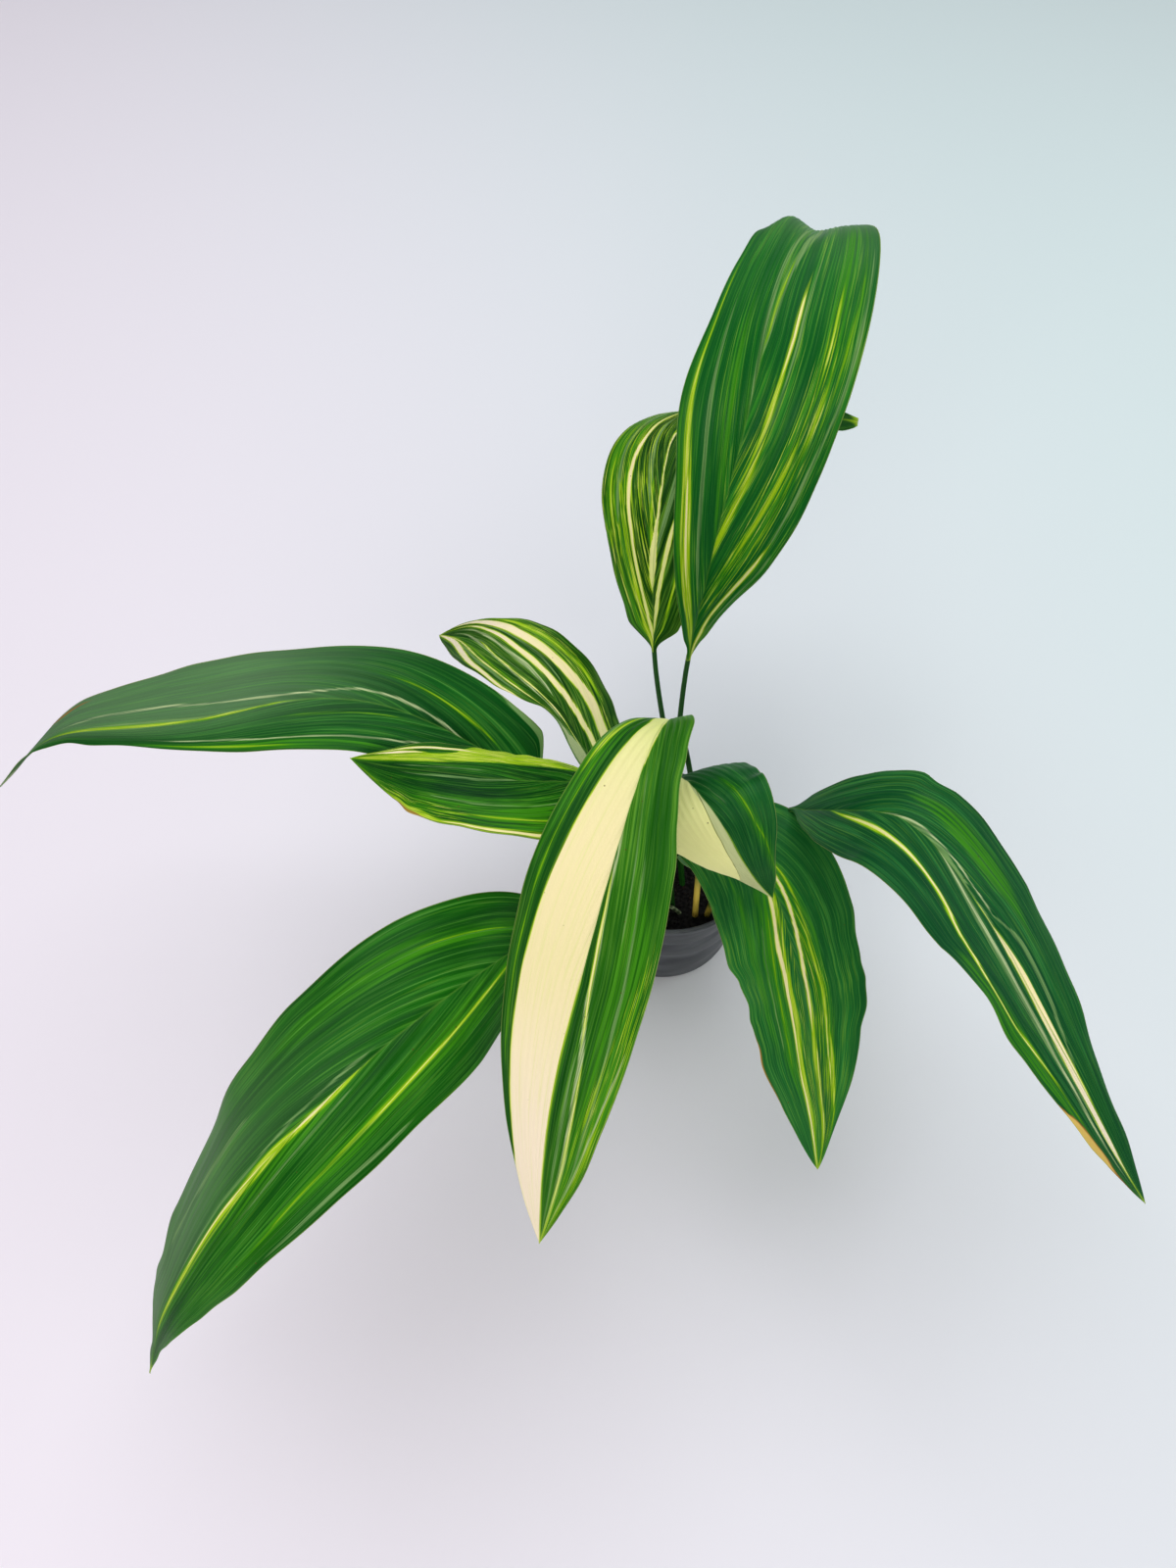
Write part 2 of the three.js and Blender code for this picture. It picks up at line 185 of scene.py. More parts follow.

# Leaves

# Each leaf's shape repeats the frame's own values, in millimetres and degrees: a centre line through
# foot, stalk, collar, three blade points and tip, then heading, twist, width and outline. Places along
# the blade are shares of it, 0 at the collar and 1 at the tip. "midrib" moves the midrib sideways:
# (share, part of the half width). "edges" widens the outline: (share, left, right). "bumps" raises the
# face: (share, part of the half width, height, spread along, spread across).
# The finish has "greens" (dark, light and streaky), and "veins", "flecks" and "fresh" say how strongly
# pale veins, light flecks and a greener cream show. "blanched" 1 gives the stalk a pale foot. The entry
# that greys an area is painted sheen, the grey-green reflection where a blade turns from the light. Its
# margins are -1 and 1: (share where it begins, share where it is full, vein where it begins, vein where it
# is full, strength).
# "bands" are the stripes of each tint, in percent. A stripe lies between two veins, written (place along
# the blade, first vein, second vein) at a few places. Vein 0 is the midrib, -100 the left margin and 100
# the right margin.
leafPlans = {
    "leaf_back_tall": {
        "line": [(-9, -27, 84), (-1, 5, 213), (4, 35, 330), (15, 35, 436), (30, 73, 528), (63, 150, 576),
                 (88, 238, 527)],
        "heading": 84, "turn": (-25, 0, 1), "width": 96, "tapers": (1.12, 1.03), "skew": 0.13,
        "lean": -0.01, "fold": 8, "curl": 0.06, "wave": (1.5, 3.5, 0.6),
        "midrib": [(0, 0), (0.25, -0.1), (0.47, 0), (0.7, -0.16), (0.85, -0.1), (1, 0)],
        "edges": [(0, 0, 0), (0.015, 0, 4), (0.05, 0, 0), (0.12, -1, -3), (0.25, -1, -2), (0.38, -2.5, 0),
                  (0.48, 0, 0), (0.6, -3.5, 0), (0.68, -3, 0), (0.75, -1, 0), (1, 0, 0)],
        "bumps": [(0.8, -0.5, 6, 0.07, 0.35), (0.8, 0.15, -3, 0.06, 0.25)],
        "greens": ("#0c5e24", "#187022", "#40962e"), "veins": 0.4, "flecks": 0.75,
        # Painted sheen: grey-green over the crest, where the blade turns from the light.
        "dull": (0.68, 0.86, -2, -1, 0.42),
        "bands": {
            "glow": [[(20, 55, 74), (35, 60, 75), (50, 62, 76), (75, 62, 78)],
                     [(20, -102, -70), (40, -102, -76), (55, -102, -80)],
                     [(30, -42, -34), (50, -40, -32), (62, -38, -32)]],
            "lime": [[(2, -87, -78), (15, -90, -75), (30, -90, -74), (42, -90, -79), (55, -90, -86),
                      (66, -91, -88)],
                     [(58, 1, 3), (64, 1, 5), (70, 4, 7)],
                     [(24, 41, 46), (35, 36, 43), (45, 31, 38), (52, 28, 34), (58, 29, 33)],
                     [(24, 63, 65), (38, 64.5, 69), (46, 66, 69)],
                     [(58, 67, 70), (64, 67, 71), (68, 68, 70)],
                     [(30, 76, 77.5), (45, 75, 77), (60, 78, 79)],
                     [(50, 83, 84), (62, 85, 86.5), (74, 86, 87)]],
            "cream": [[(20, -82.5, -80.5), (30, -82.5, -79), (38, -83.5, -81)],
                      [(55, 30, 31.5), (61, 30, 32.5), (66, 32, 33)],
                      [(-2, 92, 96), (6, 83, 87.5), (12, 80, 83), (20, 82, 86), (27, 86, 87.5)]],
            "mottle": [[(15, 56, 80), (35, 56, 80), (60, 60, 82)],
                       [(20, 30, 46), (36, 26, 44), (50, 22, 36)]],
            "pale": [[(20, -66, -62), (40, -64, -59), (60, -66, -62)],
                     [(50, -12, -7), (60, -8, -3), (70, -10, -5), (80, -6, 0)],
                     [(58, 0, 6), (68, 2, 10), (76, 8, 20), (84, 14, 26)],
                     [(48, 36, 39), (60, 36, 38), (70, 38, 40)],
                     [(30, 86, 89), (42, 87, 90), (55, 92, 95), (72, 92, 96)],
                     [(10, 90, 94), (25, 92, 96)]],
        },
    },
    "leaf_back_arched": {
        "line": [(15, -26, 84), (0, 17, 203), (-18, 60, 308), (-19, 116, 381), (-7, 194, 402),
                 (57, 234, 389), (145, 247, 364)],
        "heading": 57, "turn": (7, 21, 16), "width": 88, "tapers": (0.59, 0.94), "skew": -0.04,
        "lean": 0.07, "fold": 4, "curl": 0.16, "wave": (1.5, 3, 0),
        "midrib": [(0, 0), (0.26, 0.02), (0.41, 0.15), (0.5, 0.2), (0.7, 0.2), (1, 0)],
        "edges": [(0, 0, 0), (0.02, 3, 0), (0.05, 1.5, 0), (0.1, -1, 0), (0.2, 0, 0), (0.4, -1, 0),
                  (0.52, -3, 0), (0.6, -1.5, 0), (0.7, 0, 0), (0.85, 0, 0), (0.93, 4, 4), (0.985, 2.5, 2.5),
                  (1, 0.3, 0.3)],
        "bumps": [(0.94, -1, 8, 0.06, 0.9), (0.94, 1, -8, 0.06, 0.9)],
        "greens": ("#0a3f08", "#235a0e", "#7aa834"), "veins": 0.5, "flecks": 0.3,
        "bands": {
            "glow": [[(5, -102, -80), (30, -102, -70), (50, -102, -60), (80, -100, -50)]],
            "mottle": [[(8, -102, -64), (30, -102, -42), (50, -102, -20), (80, -90, 80)]],
            "lime": [[(0, -88, -81), (20, -78, -74), (35, -77, -73)],
                     [(15, -90, -88), (30, -91, -87), (45, -89, -87)],
                     [(12, -61, -58.5), (25, -50, -47), (36, -41, -38)],
                     [(2, 85, 88), (16, 80, 83), (40, 76, 80)]],
            "cream": [[(2, -82, -80), (10, -76, -73), (20, -72, -69), (38, -69, -65), (44, -65, -60),
                       (50, -58, -53), (70, -56, -50)],
                      [(6, -75.5, 0), (15, -61.7, 0), (30, -38.7, 0), (45, -18, 0), (60, -4, 0),
                       (80, -3, 0)],
                      [(4, 0, 79), (15, 0, 61), (30, 0, 38), (45, 0, 17)],
                      [(6, 74, 78), (15, 66, 70), (22, 62, 66), (27, 60, 63)]],
            "pale": [[(30, -84, -81), (48, -80, -75), (70, -80, -76)],
                     [(34, -47, -42), (45, -42, -36), (55, -40, -35)],
                     [(20, 50, 55), (50, 40, 48), (80, 40, 46)]],
            "deep": [[(88, -130, 130), (102, -130, 130)]],
        },
    },
    "leaf_left_banded": {
        "line": [(-30, 0, 84), (-29, -19, 172), (-31, -38, 247), (-59, -26, 295), (-88, 11, 324),
                 (-134, 45, 326), (-180, 87, 296)],
        "heading": 170, "turn": (11, -9, 3), "width": 73, "tapers": (0.72, 0.88), "skew": 0.12,
        "lean": -0.06, "fold": 11, "curl": 0, "wave": (2, 3, 1.2),
        "midrib": [(0, -0.2), (0.3, -0.3), (0.42, -0.25), (0.58, -0.05), (0.7, 0.12), (0.8, 0.3),
                   (0.9, 0.42), (1, 0.3)],
        "edges": [(0, 0, 0), (0.25, 2, 0), (0.33, 4.5, 0), (0.4, 0, 0), (0.6, 1, 0), (0.7, 0, 1),
                  (0.8, -1.5, -1), (0.9, -1.5, 0), (1, 0, 0)],
        "greens": ("#0c4206", "#2f6e12", "#86aa4a"), "veins": 0.5, "flecks": 0.5,
        "bands": {
            "pale": [[(10, -100, -70), (30, -100, -50), (42, -98, -75)],
                     [(55, -84, -78), (70, -72, -64), (85, -58, -50)],
                     [(62, -14, -10), (80, -12, -8)],
                     [(50, 40, 43), (65, 42, 46), (85, 40, 44)]],
            "veil": [[(20, -100, -66), (30, -95, -50), (36, -90, -60)]],
            "cream": [[(53, -102, -98), (60, -98, -91), (70, -91, -80), (80, -82, -67), (90, -66, -42),
                       (100, -40, -5)],
                      [(45, -78, -74), (60, -69, -66), (80, -53, -50), (95, -30, -24)],
                      [(20, 61, 67), (30, 53, 60), (40, 39, 48), (50, 27, 36), (60, 21, 31), (70, 23, 33),
                       (80, 27, 35), (90, 42, 48)],
                      [(32, -52, -48), (45, -43, -39), (60, -31, -28), (75, -18, -15)],
                      [(15, 80, 90), (30, 70, 82), (40, 65, 78), (50, 54, 68), (60, 50, 66), (70, 49, 68),
                       (80, 50, 76), (90, 62, 95)]],
            "lime": [[(55, -66, -63), (70, -53, -49), (85, -40, -36)],
                     [(40, 84, 87), (60, 76, 84), (72, 76, 86), (80, 86, 95)]],
            "light": [[(40, -56, -52), (55, -43, -38), (70, -27, -21), (80, -20, -14), (90, -5, 2)],
                      [(50, 10, 16), (60, 6, 13), (75, 6, 13), (88, 17, 24)]],
            "mottle": [[(20, 82, 95), (45, 74, 90), (60, 70, 93), (75, 72, 97), (84, 86, 100)]],
        },
    },
    "leaf_left_long": {
        "line": [(-37, -20, 84), (-61, -43, 197), (-96, -56, 298), (-198, -25, 353), (-330, -26, 349),
                 (-432, -17, 318), (-509, -26, 248)],
        "heading": 159, "turn": (15, 12, -14), "width": 84, "tapers": (0.42, 1.15), "skew": 0.12,
        "lean": -0.09, "fold": 8, "curl": 0.08, "wave": (2.5, 3.5, 2),
        "midrib": [(0, 0), (0.2, 0), (0.43, 0.06), (0.57, -0.18), (0.68, -0.34), (0.8, -0.3), (1, 0)],
        "edges": [(0, 0, 0), (0.04, 0, 3), (0.12, 0, 0), (0.33, 1, -1.5), (0.45, 0, -0.5), (0.62, 0, 1.5),
                  (0.7, 0, 0), (0.75, -2, 1), (0.8, 0, -3), (0.86, 0.5, 0.5), (0.95, 0.9, 0.9),
                  (1, 0.4, 0.4)],
        "greens": ("#084c18", "#14661e", "#3c8432"), "veins": 0.4, "flecks": 0.15,
        # Painted sheen: grey-green over the outer blade and its right side, where it reflects the light.
        "dull": (0.2, 0.5, -0.9, 0.2, 0.48),
        "bands": {
            "light": [[(18, -75, -73), (30, -83, -81), (40, -83, -81), (50, -76, -73), (58, -68, -65)],
                      [(10, 62, 63.5), (30, 47.5, 49.5), (38, 33, 35), (44, 26.5, 28.5), (50, 28, 30),
                       (60, 35.5, 38.5), (68, 37, 40), (75, 30, 34)],
                      [(90, -30, 50), (95, -90, 90), (102, -110, 110)]],
            "lime": [[(26, -54, -52), (38, -50, -48)],
                     [(42, -93, -91), (50, -91, -87), (57, -88, -85)],
                     [(30, -40, 0), (45, -20, 0), (60, -10, 2), (75, -9, 4), (86, -7, 3)],
                     [(12, 73, 75), (20, 71, 73), (26, 70, 71.5)]],
            "glow": [[(30, -100, -80), (50, -100, -80), (58, -95, -80)]],
            "pale": [[(28, -43, 0), (40, -25, 0), (50, -14, 0), (60, -12, 0), (68, -13, 0), (78, -12, 0)],
                     [(33, 0, 32), (45, 0, 17), (55, 0, 9), (66, 0, 9), (78, 0, 6)],
                     [(0, 95, 102), (12, 97, 102)]],
            "dry": [[(76, 88, 90), (78.5, 87, 93), (81, 90, 93)]],
        },
    },
    "leaf_left_short": {
        "line": [(-27, -38, 84), (-41, -53, 193), (-54, -69, 288), (-66, -87, 346), (-109, -99, 372),
                 (-164, -90, 375), (-221, -66, 355)],
        "heading": 191, "turn": (-4, -9, 8), "width": 71, "tapers": (0.8, 0.99), "skew": -0.03,
        "lean": -0.02, "fold": 2, "curl": 0.2, "wave": (1.2, 2.5, 0),
        "midrib": [(0, 0.2), (0.3, 0.25), (0.6, 0.1), (1, -0.15)],
        "edges": [(0, 0, 0), (0.4, 1, 0), (0.6, 1, 0), (0.7, 2, 0), (0.75, 2.5, 0), (0.8, 0, 0),
                  (0.88, 0, -1.5), (1, 0, 0)],
        "greens": ("#023a14", "#12600e", "#3f8a1c"), "veins": 0.35, "flecks": 0.35,
        "bands": {
            "cream": [[(30, -98, -95), (50, -97.5, -94), (64, -97, -95)],
                      [(10, 95, 104), (25, 90, 104), (36, 97, 104)],
                      [(62, 73, 76), (70, 74, 81), (80, 76, 83), (88, 84, 90)],
                      [(80, 58, 66), (86, 62, 74), (92, 74, 86)]],
            "glow": [[(35, -88, -55), (60, -90, -50), (72, -102, -60), (85, -102, -70), (102, -102, -20)]],
            "lime": [[(40, -82, -79), (55, -80, -76), (68, -82, -79)],
                     [(66, -102, -93), (74, -102, -87), (84, -102, -90)],
                     [(87, -90, -84), (94, -80, -70), (102, -70, -60)],
                     [(5, 80, 104), (30, 61, 104), (40, 54.5, 104), (50, 50, 104), (60, 40, 104),
                      (65, 34, 95), (70, 30, 63), (80, 25, 58), (100, 20, 70)]],
            "mottle": [[(64, -102, -66), (76, -102, -72), (86, -102, -74)]],
            "pale": [[(40, -62, -59), (68, -58, -55)],
                     [(45, -10, -7), (60, -11, -6), (78, -14, -10)],
                     [(62, 14, 17), (82, 10, 13)]],
            "dry": [[(70, -104, -99), (75, -104, -95), (82, -104, -99)]],
        },
    },
    "leaf_front_broad": {
        "line": [(-7, -52, 84), (-44, -97, 191), (-85, -148, 283), (-151, -226, 340), (-235, -309, 341),
                 (-305, -369, 265), (-346, -401, 152)],
        "heading": 199, "turn": (40, 3, 22), "width": 115, "tapers": (0.78, 1.48), "skew": 0.12,
        "lean": -0.11, "fold": 1, "curl": 0.23, "wave": (3, 4, 0.8),
        "midrib": [(0, -0.05), (0.33, 0), (0.62, -0.11), (0.8, -0.26), (1, -0.1)],
        "edges": [(0, 0, 0), (0.15, 0, 0), (0.24, 0, 1.5), (0.38, -2, 0), (0.47, -2, -4), (0.56, 0, -1.5),
                  (0.65, -1, -1), (0.7, -2, -3), (0.745, -1, -8), (0.8, 0, -1), (0.84, 0, 1), (0.9, -1, -3),
                  (0.95, 0.3, 0.3), (1, 0.3, 0.3)],
        "greens": ("#125212", "#1f6e10", "#458c2c"), "veins": 0.6, "flecks": 0.2,
        # Painted sheen: grey-green over the lower right half, where the blade turns from the light.
        "dull": (0.3, 0.7, -0.2, 0.5, 0.42),
        "bands": {
            "glow": [[(10, -78, -62), (30, -76, -58), (50, -76, -60), (62, -80, -70)],
                     [(40, -36, 0), (60, -22, 0), (80, -15, 0)],
                     [(8, 76, 84), (25, 74, 85), (42, 72, 82)]],
            "lime": [[(10, -71, -69), (25, -69, -66), (40, -70, -65), (50, -69, -66), (57, -71, -69)],
                     [(26, -43, 0), (40, -27, 0), (50, -15, 0), (60, -5, 0), (72, -3, 0), (86, -3, 0)],
                     [(34, 0, 33), (50, 0, 15), (60, 0, 10), (70, 0, 11), (86, 0, 7)],
                     [(12, 79, 80), (30, 78.5, 80)]],
            "cream": [[(30, -67.5, -66.5), (38, -68, -67)],
                      [(30, -38.5, 0), (42, -22, 0), (50, -12, 0)],
                      [(52, 8, 10), (60, 4.5, 7), (68, 5, 7)]],
            "pale": [[(38, -95, -91), (48, -93, -89), (57, -95, -90)],
                     [(42, -34, -30), (58, -28, -25)],
                     [(36, 32, 34), (48, 20, 22), (57, 13, 15.5), (72, 16, 19)],
                     [(52, 54, 58), (60, 56, 60), (70, 66, 70)]],
        },
    },
    "leaf_front_cream": {
        "line": [(23, -52, 84), (16, -48, 218), (-5, -36, 342), (-26, -83, 407), (-53, -168, 390),
                 (-78, -259, 328), (-96, -342, 246)],
        "heading": 250, "turn": (-24, -7, 3), "blanched": 1, "width": 89, "tapers": (1.18, 0.99),
        "skew": 0.1, "lean": 0.03, "fold": 9, "curl": 0.04, "wave": (0.8, 2.5, 0),
        "midrib": [(0, -0.05), (0.3, 0), (0.6, 0.06), (0.83, 0.17), (1, 0.25)],
        "edges": [(0, 0, 0), (0.18, 1.5, 0), (0.25, -1.5, 0), (0.3, -4, 0), (0.35, -3, 0), (0.42, 0, 0.8),
                  (0.55, 1, 0), (0.65, 0, 0), (0.8, 0, -1), (0.88, 1.5, -1), (0.95, 0.5, 0), (1, 0, 0)],
        "greens": ("#1c5e10", "#387c18", "#6aa236"), "veins": 0.45, "flecks": 0.4,
        "bands": {
            "deep": [[(10, 70, 104), (50, 74, 104), (90, 85, 104)],
                     [(30, -35, 0), (50, -20, 0), (70, -16, 0), (95, -14, 0)]],
            "cream": [[(-2, 0, 92), (13, 0, 78), (20, 0, 70), (30, 0, 72), (45, 0, 74.5), (56, 0, 76.5),
                       (60, 1, 78), (75, 3, 82), (85, 3, 88), (92, 2, 110), (102, 0, 110)],
                      [(-2, -95, 0), (13, -67, 0), (20, -56, 0), (27, -42, 0), (34, -30, 0)],
                      [(46, -20, -19), (58, -16.5, -14), (66, -24, -22)],
                      [(74, -38, -36.5), (83, -46, -44), (94, -52, -50)]],
            "lime": [[(56, 0, 3), (75, 0, 4.5), (90, 0, 4)],
                     [(78, -92, -88), (88, -90, -83), (96, -88, -80)],
                     [(13, 88, 93), (20, 88, 95), (30, 93, 96)],
                     [(30, 86, 87.5), (50, 87, 88.5), (70, 90, 91)]],
            "light": [[(38, -27, -25), (50, -21, -17), (60, -20, -14), (70, -33, -25), (80, -45, -36),
                       (90, -54, -44), (98, -56, -44)],
                      [(70, -92, -89), (82, -86, -82), (93, -80, -75)]],
            "pale": [[(42, -62, -59), (60, -66, -62), (80, -74, -69), (95, -78, -72)],
                     [(30, -50, -47), (50, -50, -47)],
                     [(72, -22, -18), (85, -28, -22), (95, -30, -24)],
                     [(15, 92, 98), (24, 94, 99)]],
            "mottle": [[(55, -102, -80), (75, -102, -60), (90, -102, -55), (100, -100, -60)]],
            "glow": [[(50, -90, -40), (70, -98, -45), (85, -100, -50), (98, -100, -50)],
                     [(12, 80, 102), (30, 82, 102), (42, 92, 102)]],
        },
    },
    "leaf_right_small": {
        "line": [(5, -42, 84), (-5, -45, 193), (-13, -48, 289), (-7, -68, 341), (9, -103, 355),
                 (32, -124, 324), (58, -128, 277)],
        "heading": 281, "turn": (-2, -8, -28), "width": 88, "tapers": (0.72, 1.22), "skew": -0.01,
        "lean": 0.03, "fold": 4, "curl": 0.17, "wave": (0.8, 2, 0.5),
        "midrib": [(0, 0), (0.4, 0), (0.66, -0.02), (0.8, 0.04), (1, 0.2)],
        "edges": [(0, 0, 0), (0.2, 2, 0), (0.3, 0, 0), (0.65, 0, 0), (0.77, -2, 0), (0.9, 0, 0), (1, 0, 0)],
        "bumps": [(0.2, 0, -4.5, 0.13, 0.6)], "greens": ("#0e5426", "#1c662e", "#347a3c"), "veins": 0.3,
        "flecks": 0.15, "fresh": 0.85,
        "bands": {
            "cream": [[(-2, 0, 110), (102, 0, 110)]],
            "veil": [[(30, 0, 40), (40, 0, 25), (50, 0, 17), (60, 0, 16.5), (66, 0, 20), (74, 0, 27),
                      (79, 0, 40), (83, 0, 63), (86, 0, 110), (102, 0, 110)]],
            "thread": [[(42, 19, 20.5), (50, 16.2, 17.7), (60, 15.8, 17.3), (66, 19.3, 20.8),
                        (74, 26.2, 27.8), (79, 39, 41), (83, 62, 64)]],
            "lime": [[(46, -53, -51), (60, -56, -53.5), (68, -70, -68), (80, -96, -93)]],
            "glow": [[(44, -60, -46), (60, -62, -48), (70, -80, -62), (82, -100, -85)]],
            # This pale line is painted sheen: a greyish line along the fold crest, where the blade turns
            # over.
            "pale": [[(30, -32, -30), (50, -30, -28)]],
        },
    },
    "leaf_front_right": {
        "line": [(32, -49, 84), (34, -53, 143), (32, -56, 193), (33, -56, 245), (66, -91, 240),
                 (90, -171, 196), (96, -269, 135)],
        "heading": 299, "turn": (-1, -4, -8), "blanched": 1, "width": 102, "tapers": (0.61, 0.89),
        "skew": 0.04, "lean": 0, "fold": 4, "curl": 0.08, "wave": (2.2, 4, 1.6),
        "midrib": [(0, 0.05), (0.35, 0.07), (0.6, 0.09), (0.8, 0.06), (0.93, -0.15), (1, -0.2)],
        "edges": [(0, 0, 0), (0.35, 0, 0), (0.44, 0.5, 1), (0.5, -3, 2), (0.55, -1.5, -2.5), (0.6, 2, -4),
                  (0.65, 4, 0), (0.7, 0, 1), (0.76, 0, 4), (0.85, -0.5, 1), (0.92, -1, 0), (1, 0, 0)],
        "greens": ("#1c602e", "#2c7c38", "#559c48"), "veins": 0.4, "flecks": 0.5,
        "bands": {
            "glow": [[(30, -52, -30), (45, -45, -24), (62, -45, -20), (80, -60, -30), (92, -80, -50)],
                     [(35, 30, 60), (55, 25, 52), (80, 25, 50)],
                     [(30, 66, 74), (50, 60, 68), (70, 60, 66)]],
            "cream": [[(28, -46, -43), (40, -33, -29.5), (50, -22, -17.5), (60, -13, -8.5), (67, -12, -9)],
                      [(74, -17, -15.5), (84, -19, -17), (91, -28, -24)],
                      [(25, 43, 47), (40, 31, 35), (48, 27, 32), (55, 20, 26), (62, 19, 23.5), (75, 22, 25),
                       (88, 26, 31), (98, 28, 40)],
                      [(67, -37, -35.5), (73, -40, -38.5), (81, -48, -46.5)]],
            "lime": [[(66, -16, -9), (75, -16, -6), (85, -18, -7), (95, -34, -12)],
                     [(28, 36, 42), (42, 24, 29), (52, 18, 22), (62, 11, 20), (75, 13, 23), (88, 15, 27),
                      (98, 12, 34)],
                     [(30, -50, -47), (42, -41, -37), (52, -37, -32), (62, -38, -31), (70, -42, -34)],
                     [(72, -50, -40), (82, -60, -50), (90, -76, -66)],
                     [(42, 38, 40), (55, 36, 38), (75, 38, 40)]],
            "mottle": [[(40, 12, 30), (55, 2, 24), (70, 0, 26), (85, 0, 30), (97, 0, 40)],
                       [(45, -42, -26), (60, -42, -18), (78, -50, -20), (92, -70, -30)]],
            "pale": [[(45, 46, 49), (70, 48, 51)]],
            "dry": [[(68, 99, 104), (75, 97.5, 104), (86, 98.5, 104)]],
        },
    },
    "leaf_right_long": {
        "line": [(48, -9, 84), (77, -28, 183), (81, -41, 251), (138, -93, 325), (188, -155, 310),
                 (232, -237, 275), (283, -313, 221)],
        "heading": 336, "turn": (3, 6, 3), "width": 95, "tapers": (0.77, 0.95), "skew": 0.09, "lean": 0.1,
        "fold": 8, "curl": 0.09, "wave": (2.2, 3.5, 0.4),
        "midrib": [(0, 0.2), (0.13, 0.17), (0.27, 0), (0.47, 0.04), (0.6, 0.05), (0.78, 0), (1, 0.1)],
        "edges": [(0, 0, 1), (0.015, -1.5, 1), (0.05, -5, -4), (0.1, -6, -2), (0.15, -5, 0), (0.2, -2.5, 0),
                  (0.25, 0, 0), (0.275, -3, 0), (0.31, -0.5, 0), (0.4, 0, 0), (0.58, 0, 0), (0.65, 0, 3.5),
                  (0.7, 0, 1), (0.78, 0, 0.5), (0.85, 0, 3), (0.9, 1, 1), (0.95, 0, 0), (1, 0, 0)],
        "greens": ("#0c4e2a", "#18622e", "#388444"), "veins": 0.4, "flecks": 0.25,
        "bands": {
            "glow": [[(30, -80, -55), (42, -80, -50), (50, -70, -50)],
                     [(55, 70, 100), (66, 66, 100), (78, 68, 100)]],
            "lime": [[(14, 62, 64.5), (25, 61, 65.5), (32, 58.5, 63), (38, 58, 62), (45, 61, 66),
                      (52, 67, 72), (58, 74, 78), (64, 72.5, 77), (70, 68, 71), (80, 71, 74)]],
            "cream": [[(18, 62, 64), (30, 60, 62.5), (40, 58.5, 61), (47, 63, 65.5), (54, 70, 72),
                       (60, 75.5, 77.5), (66, 73.5, 75), (72, 69, 70)],
                      [(42, 0, 22), (50, 0, 13), (60, 0, 7), (70, 0, 13), (80, 0, 22), (87, 2, 27),
                       (93, 10, 27)],
                      [(50, -12, 0), (60, -7, 0), (70, -6, 0), (80, -2, 0)]],
            "light": [[(36, 27, 30), (50, 24, 28), (60, 20, 26), (70, 26, 32), (80, 36, 42), (90, 47, 54)],
                      [(22, -48, -46), (35, -37, -35), (47, -23, -20)]],
            "pale": [[(36, 25, 31), (60, 24, 34), (70, 30, 37), (85, 40, 50)],
                     [(70, 13, 18), (82, 24, 29), (92, 30, 36)],
                     [(16, -59, 0), (30, -40, 0), (45, -18, 0), (55, -5, 0)],
                     [(50, -24, -19), (56, -37, -28), (62, -37, -28), (68, -28, -20), (74, -15, -8)]],
            "dry": [[(78.5, 92, 106), (82, 79, 106), (87, 73, 106), (93, 86, 106)]],
        },
    },
}

# Shape of every leaf. Sizes are millimetres, and the places where something starts or ends are shares.
# Rings and columns are partly even: the rest crowds them at the blade's ends and at its midrib.
leafForm = {
    "stalkRings": 44, "bladeRings": 250, "evenRings": 0.65, "halfColumns": 32, "evenColumns": 0.5,
    "lineSteps": 60, "footRadius": 2.6, "topRadius": 1.8, "channelDepth": 0.22, "channelSpread": 0.45,
    "blendShare": 0.06, "blanched": 0.55,
    "thickness": 0.5, "marginThinner": 0.75, "tipThinner": 0.6, "tipStart": 0.97, "tipHalfWidth": 0.35,
    "grooveDepth": 0.7, "grooveWidth": 1.5, "ribDepth": 1.5, "ribWidth": 1.7, "ribFade": (0.3, 1),
    "pleatHeight": 0.32, "pleats": 11, "pleatRise": (0.04, 0.25), "pleatFade": (0.8, 1),
    "rippleHeight": 0.5, "ripples": 9, "rippleLean": 2,
    "fanEnd": 0.6, "fanStart": 0.85, "fanPower": 1.2,
}


def hermite(start, end, leave, arrive, step):
    # A cubic from start to end, with its slopes there for a step of one.
    bend = 3 * (end - start) - 2 * leave - arrive
    return start + leave * step + bend * step ** 2 + (2 * (start - end) + leave + arrive) * step ** 3


def centreLine(points, perSpan):
    # Centripetal Catmull-Rom curve through the points, as the frame's own.
    points = [np.array(p, float) for p in points]
    points = [2 * points[0] - points[1], *points, 2 * points[-1] - points[-2]]
    step = np.linspace(0, 1, perSpan, endpoint=False)[:, None]
    line = []
    for before, start, end, after in zip(points, points[1:], points[2:], points[3:]):
        gaps = [np.sqrt(np.linalg.norm(b - a)) for a, b in ((before, start), (start, end), (end, after))]
        leave = (start - before) / gaps[0] - (end - before) / (gaps[0] + gaps[1]) + (end - start) / gaps[1]
        arrive = (end - start) / gaps[1] - (after - start) / (gaps[1] + gaps[2]) + (after - end) / gaps[2]
        line.append(hermite(start, end, leave * gaps[1], arrive * gaps[1], step))
    line.append(points[-2][None, :])
    return np.concatenate(line)


def curveThrough(pairs, share, gliding=False):
    # A smooth curve through a few (share, value) pairs. It levels out at each one, or glides past them.
    places, values = np.array(pairs, float).T
    slopes = np.gradient(values, places) if gliding else np.zeros(len(values))
    index = np.clip(np.searchsorted(places, share, side="right") - 1, 0, len(places) - 2)
    gap = places[index + 1] - places[index]
    step = np.clip((share - places[index]) / gap, 0, 1)
    return hermite(values[index], values[index + 1], slopes[index] * gap, slopes[index + 1] * gap, step)


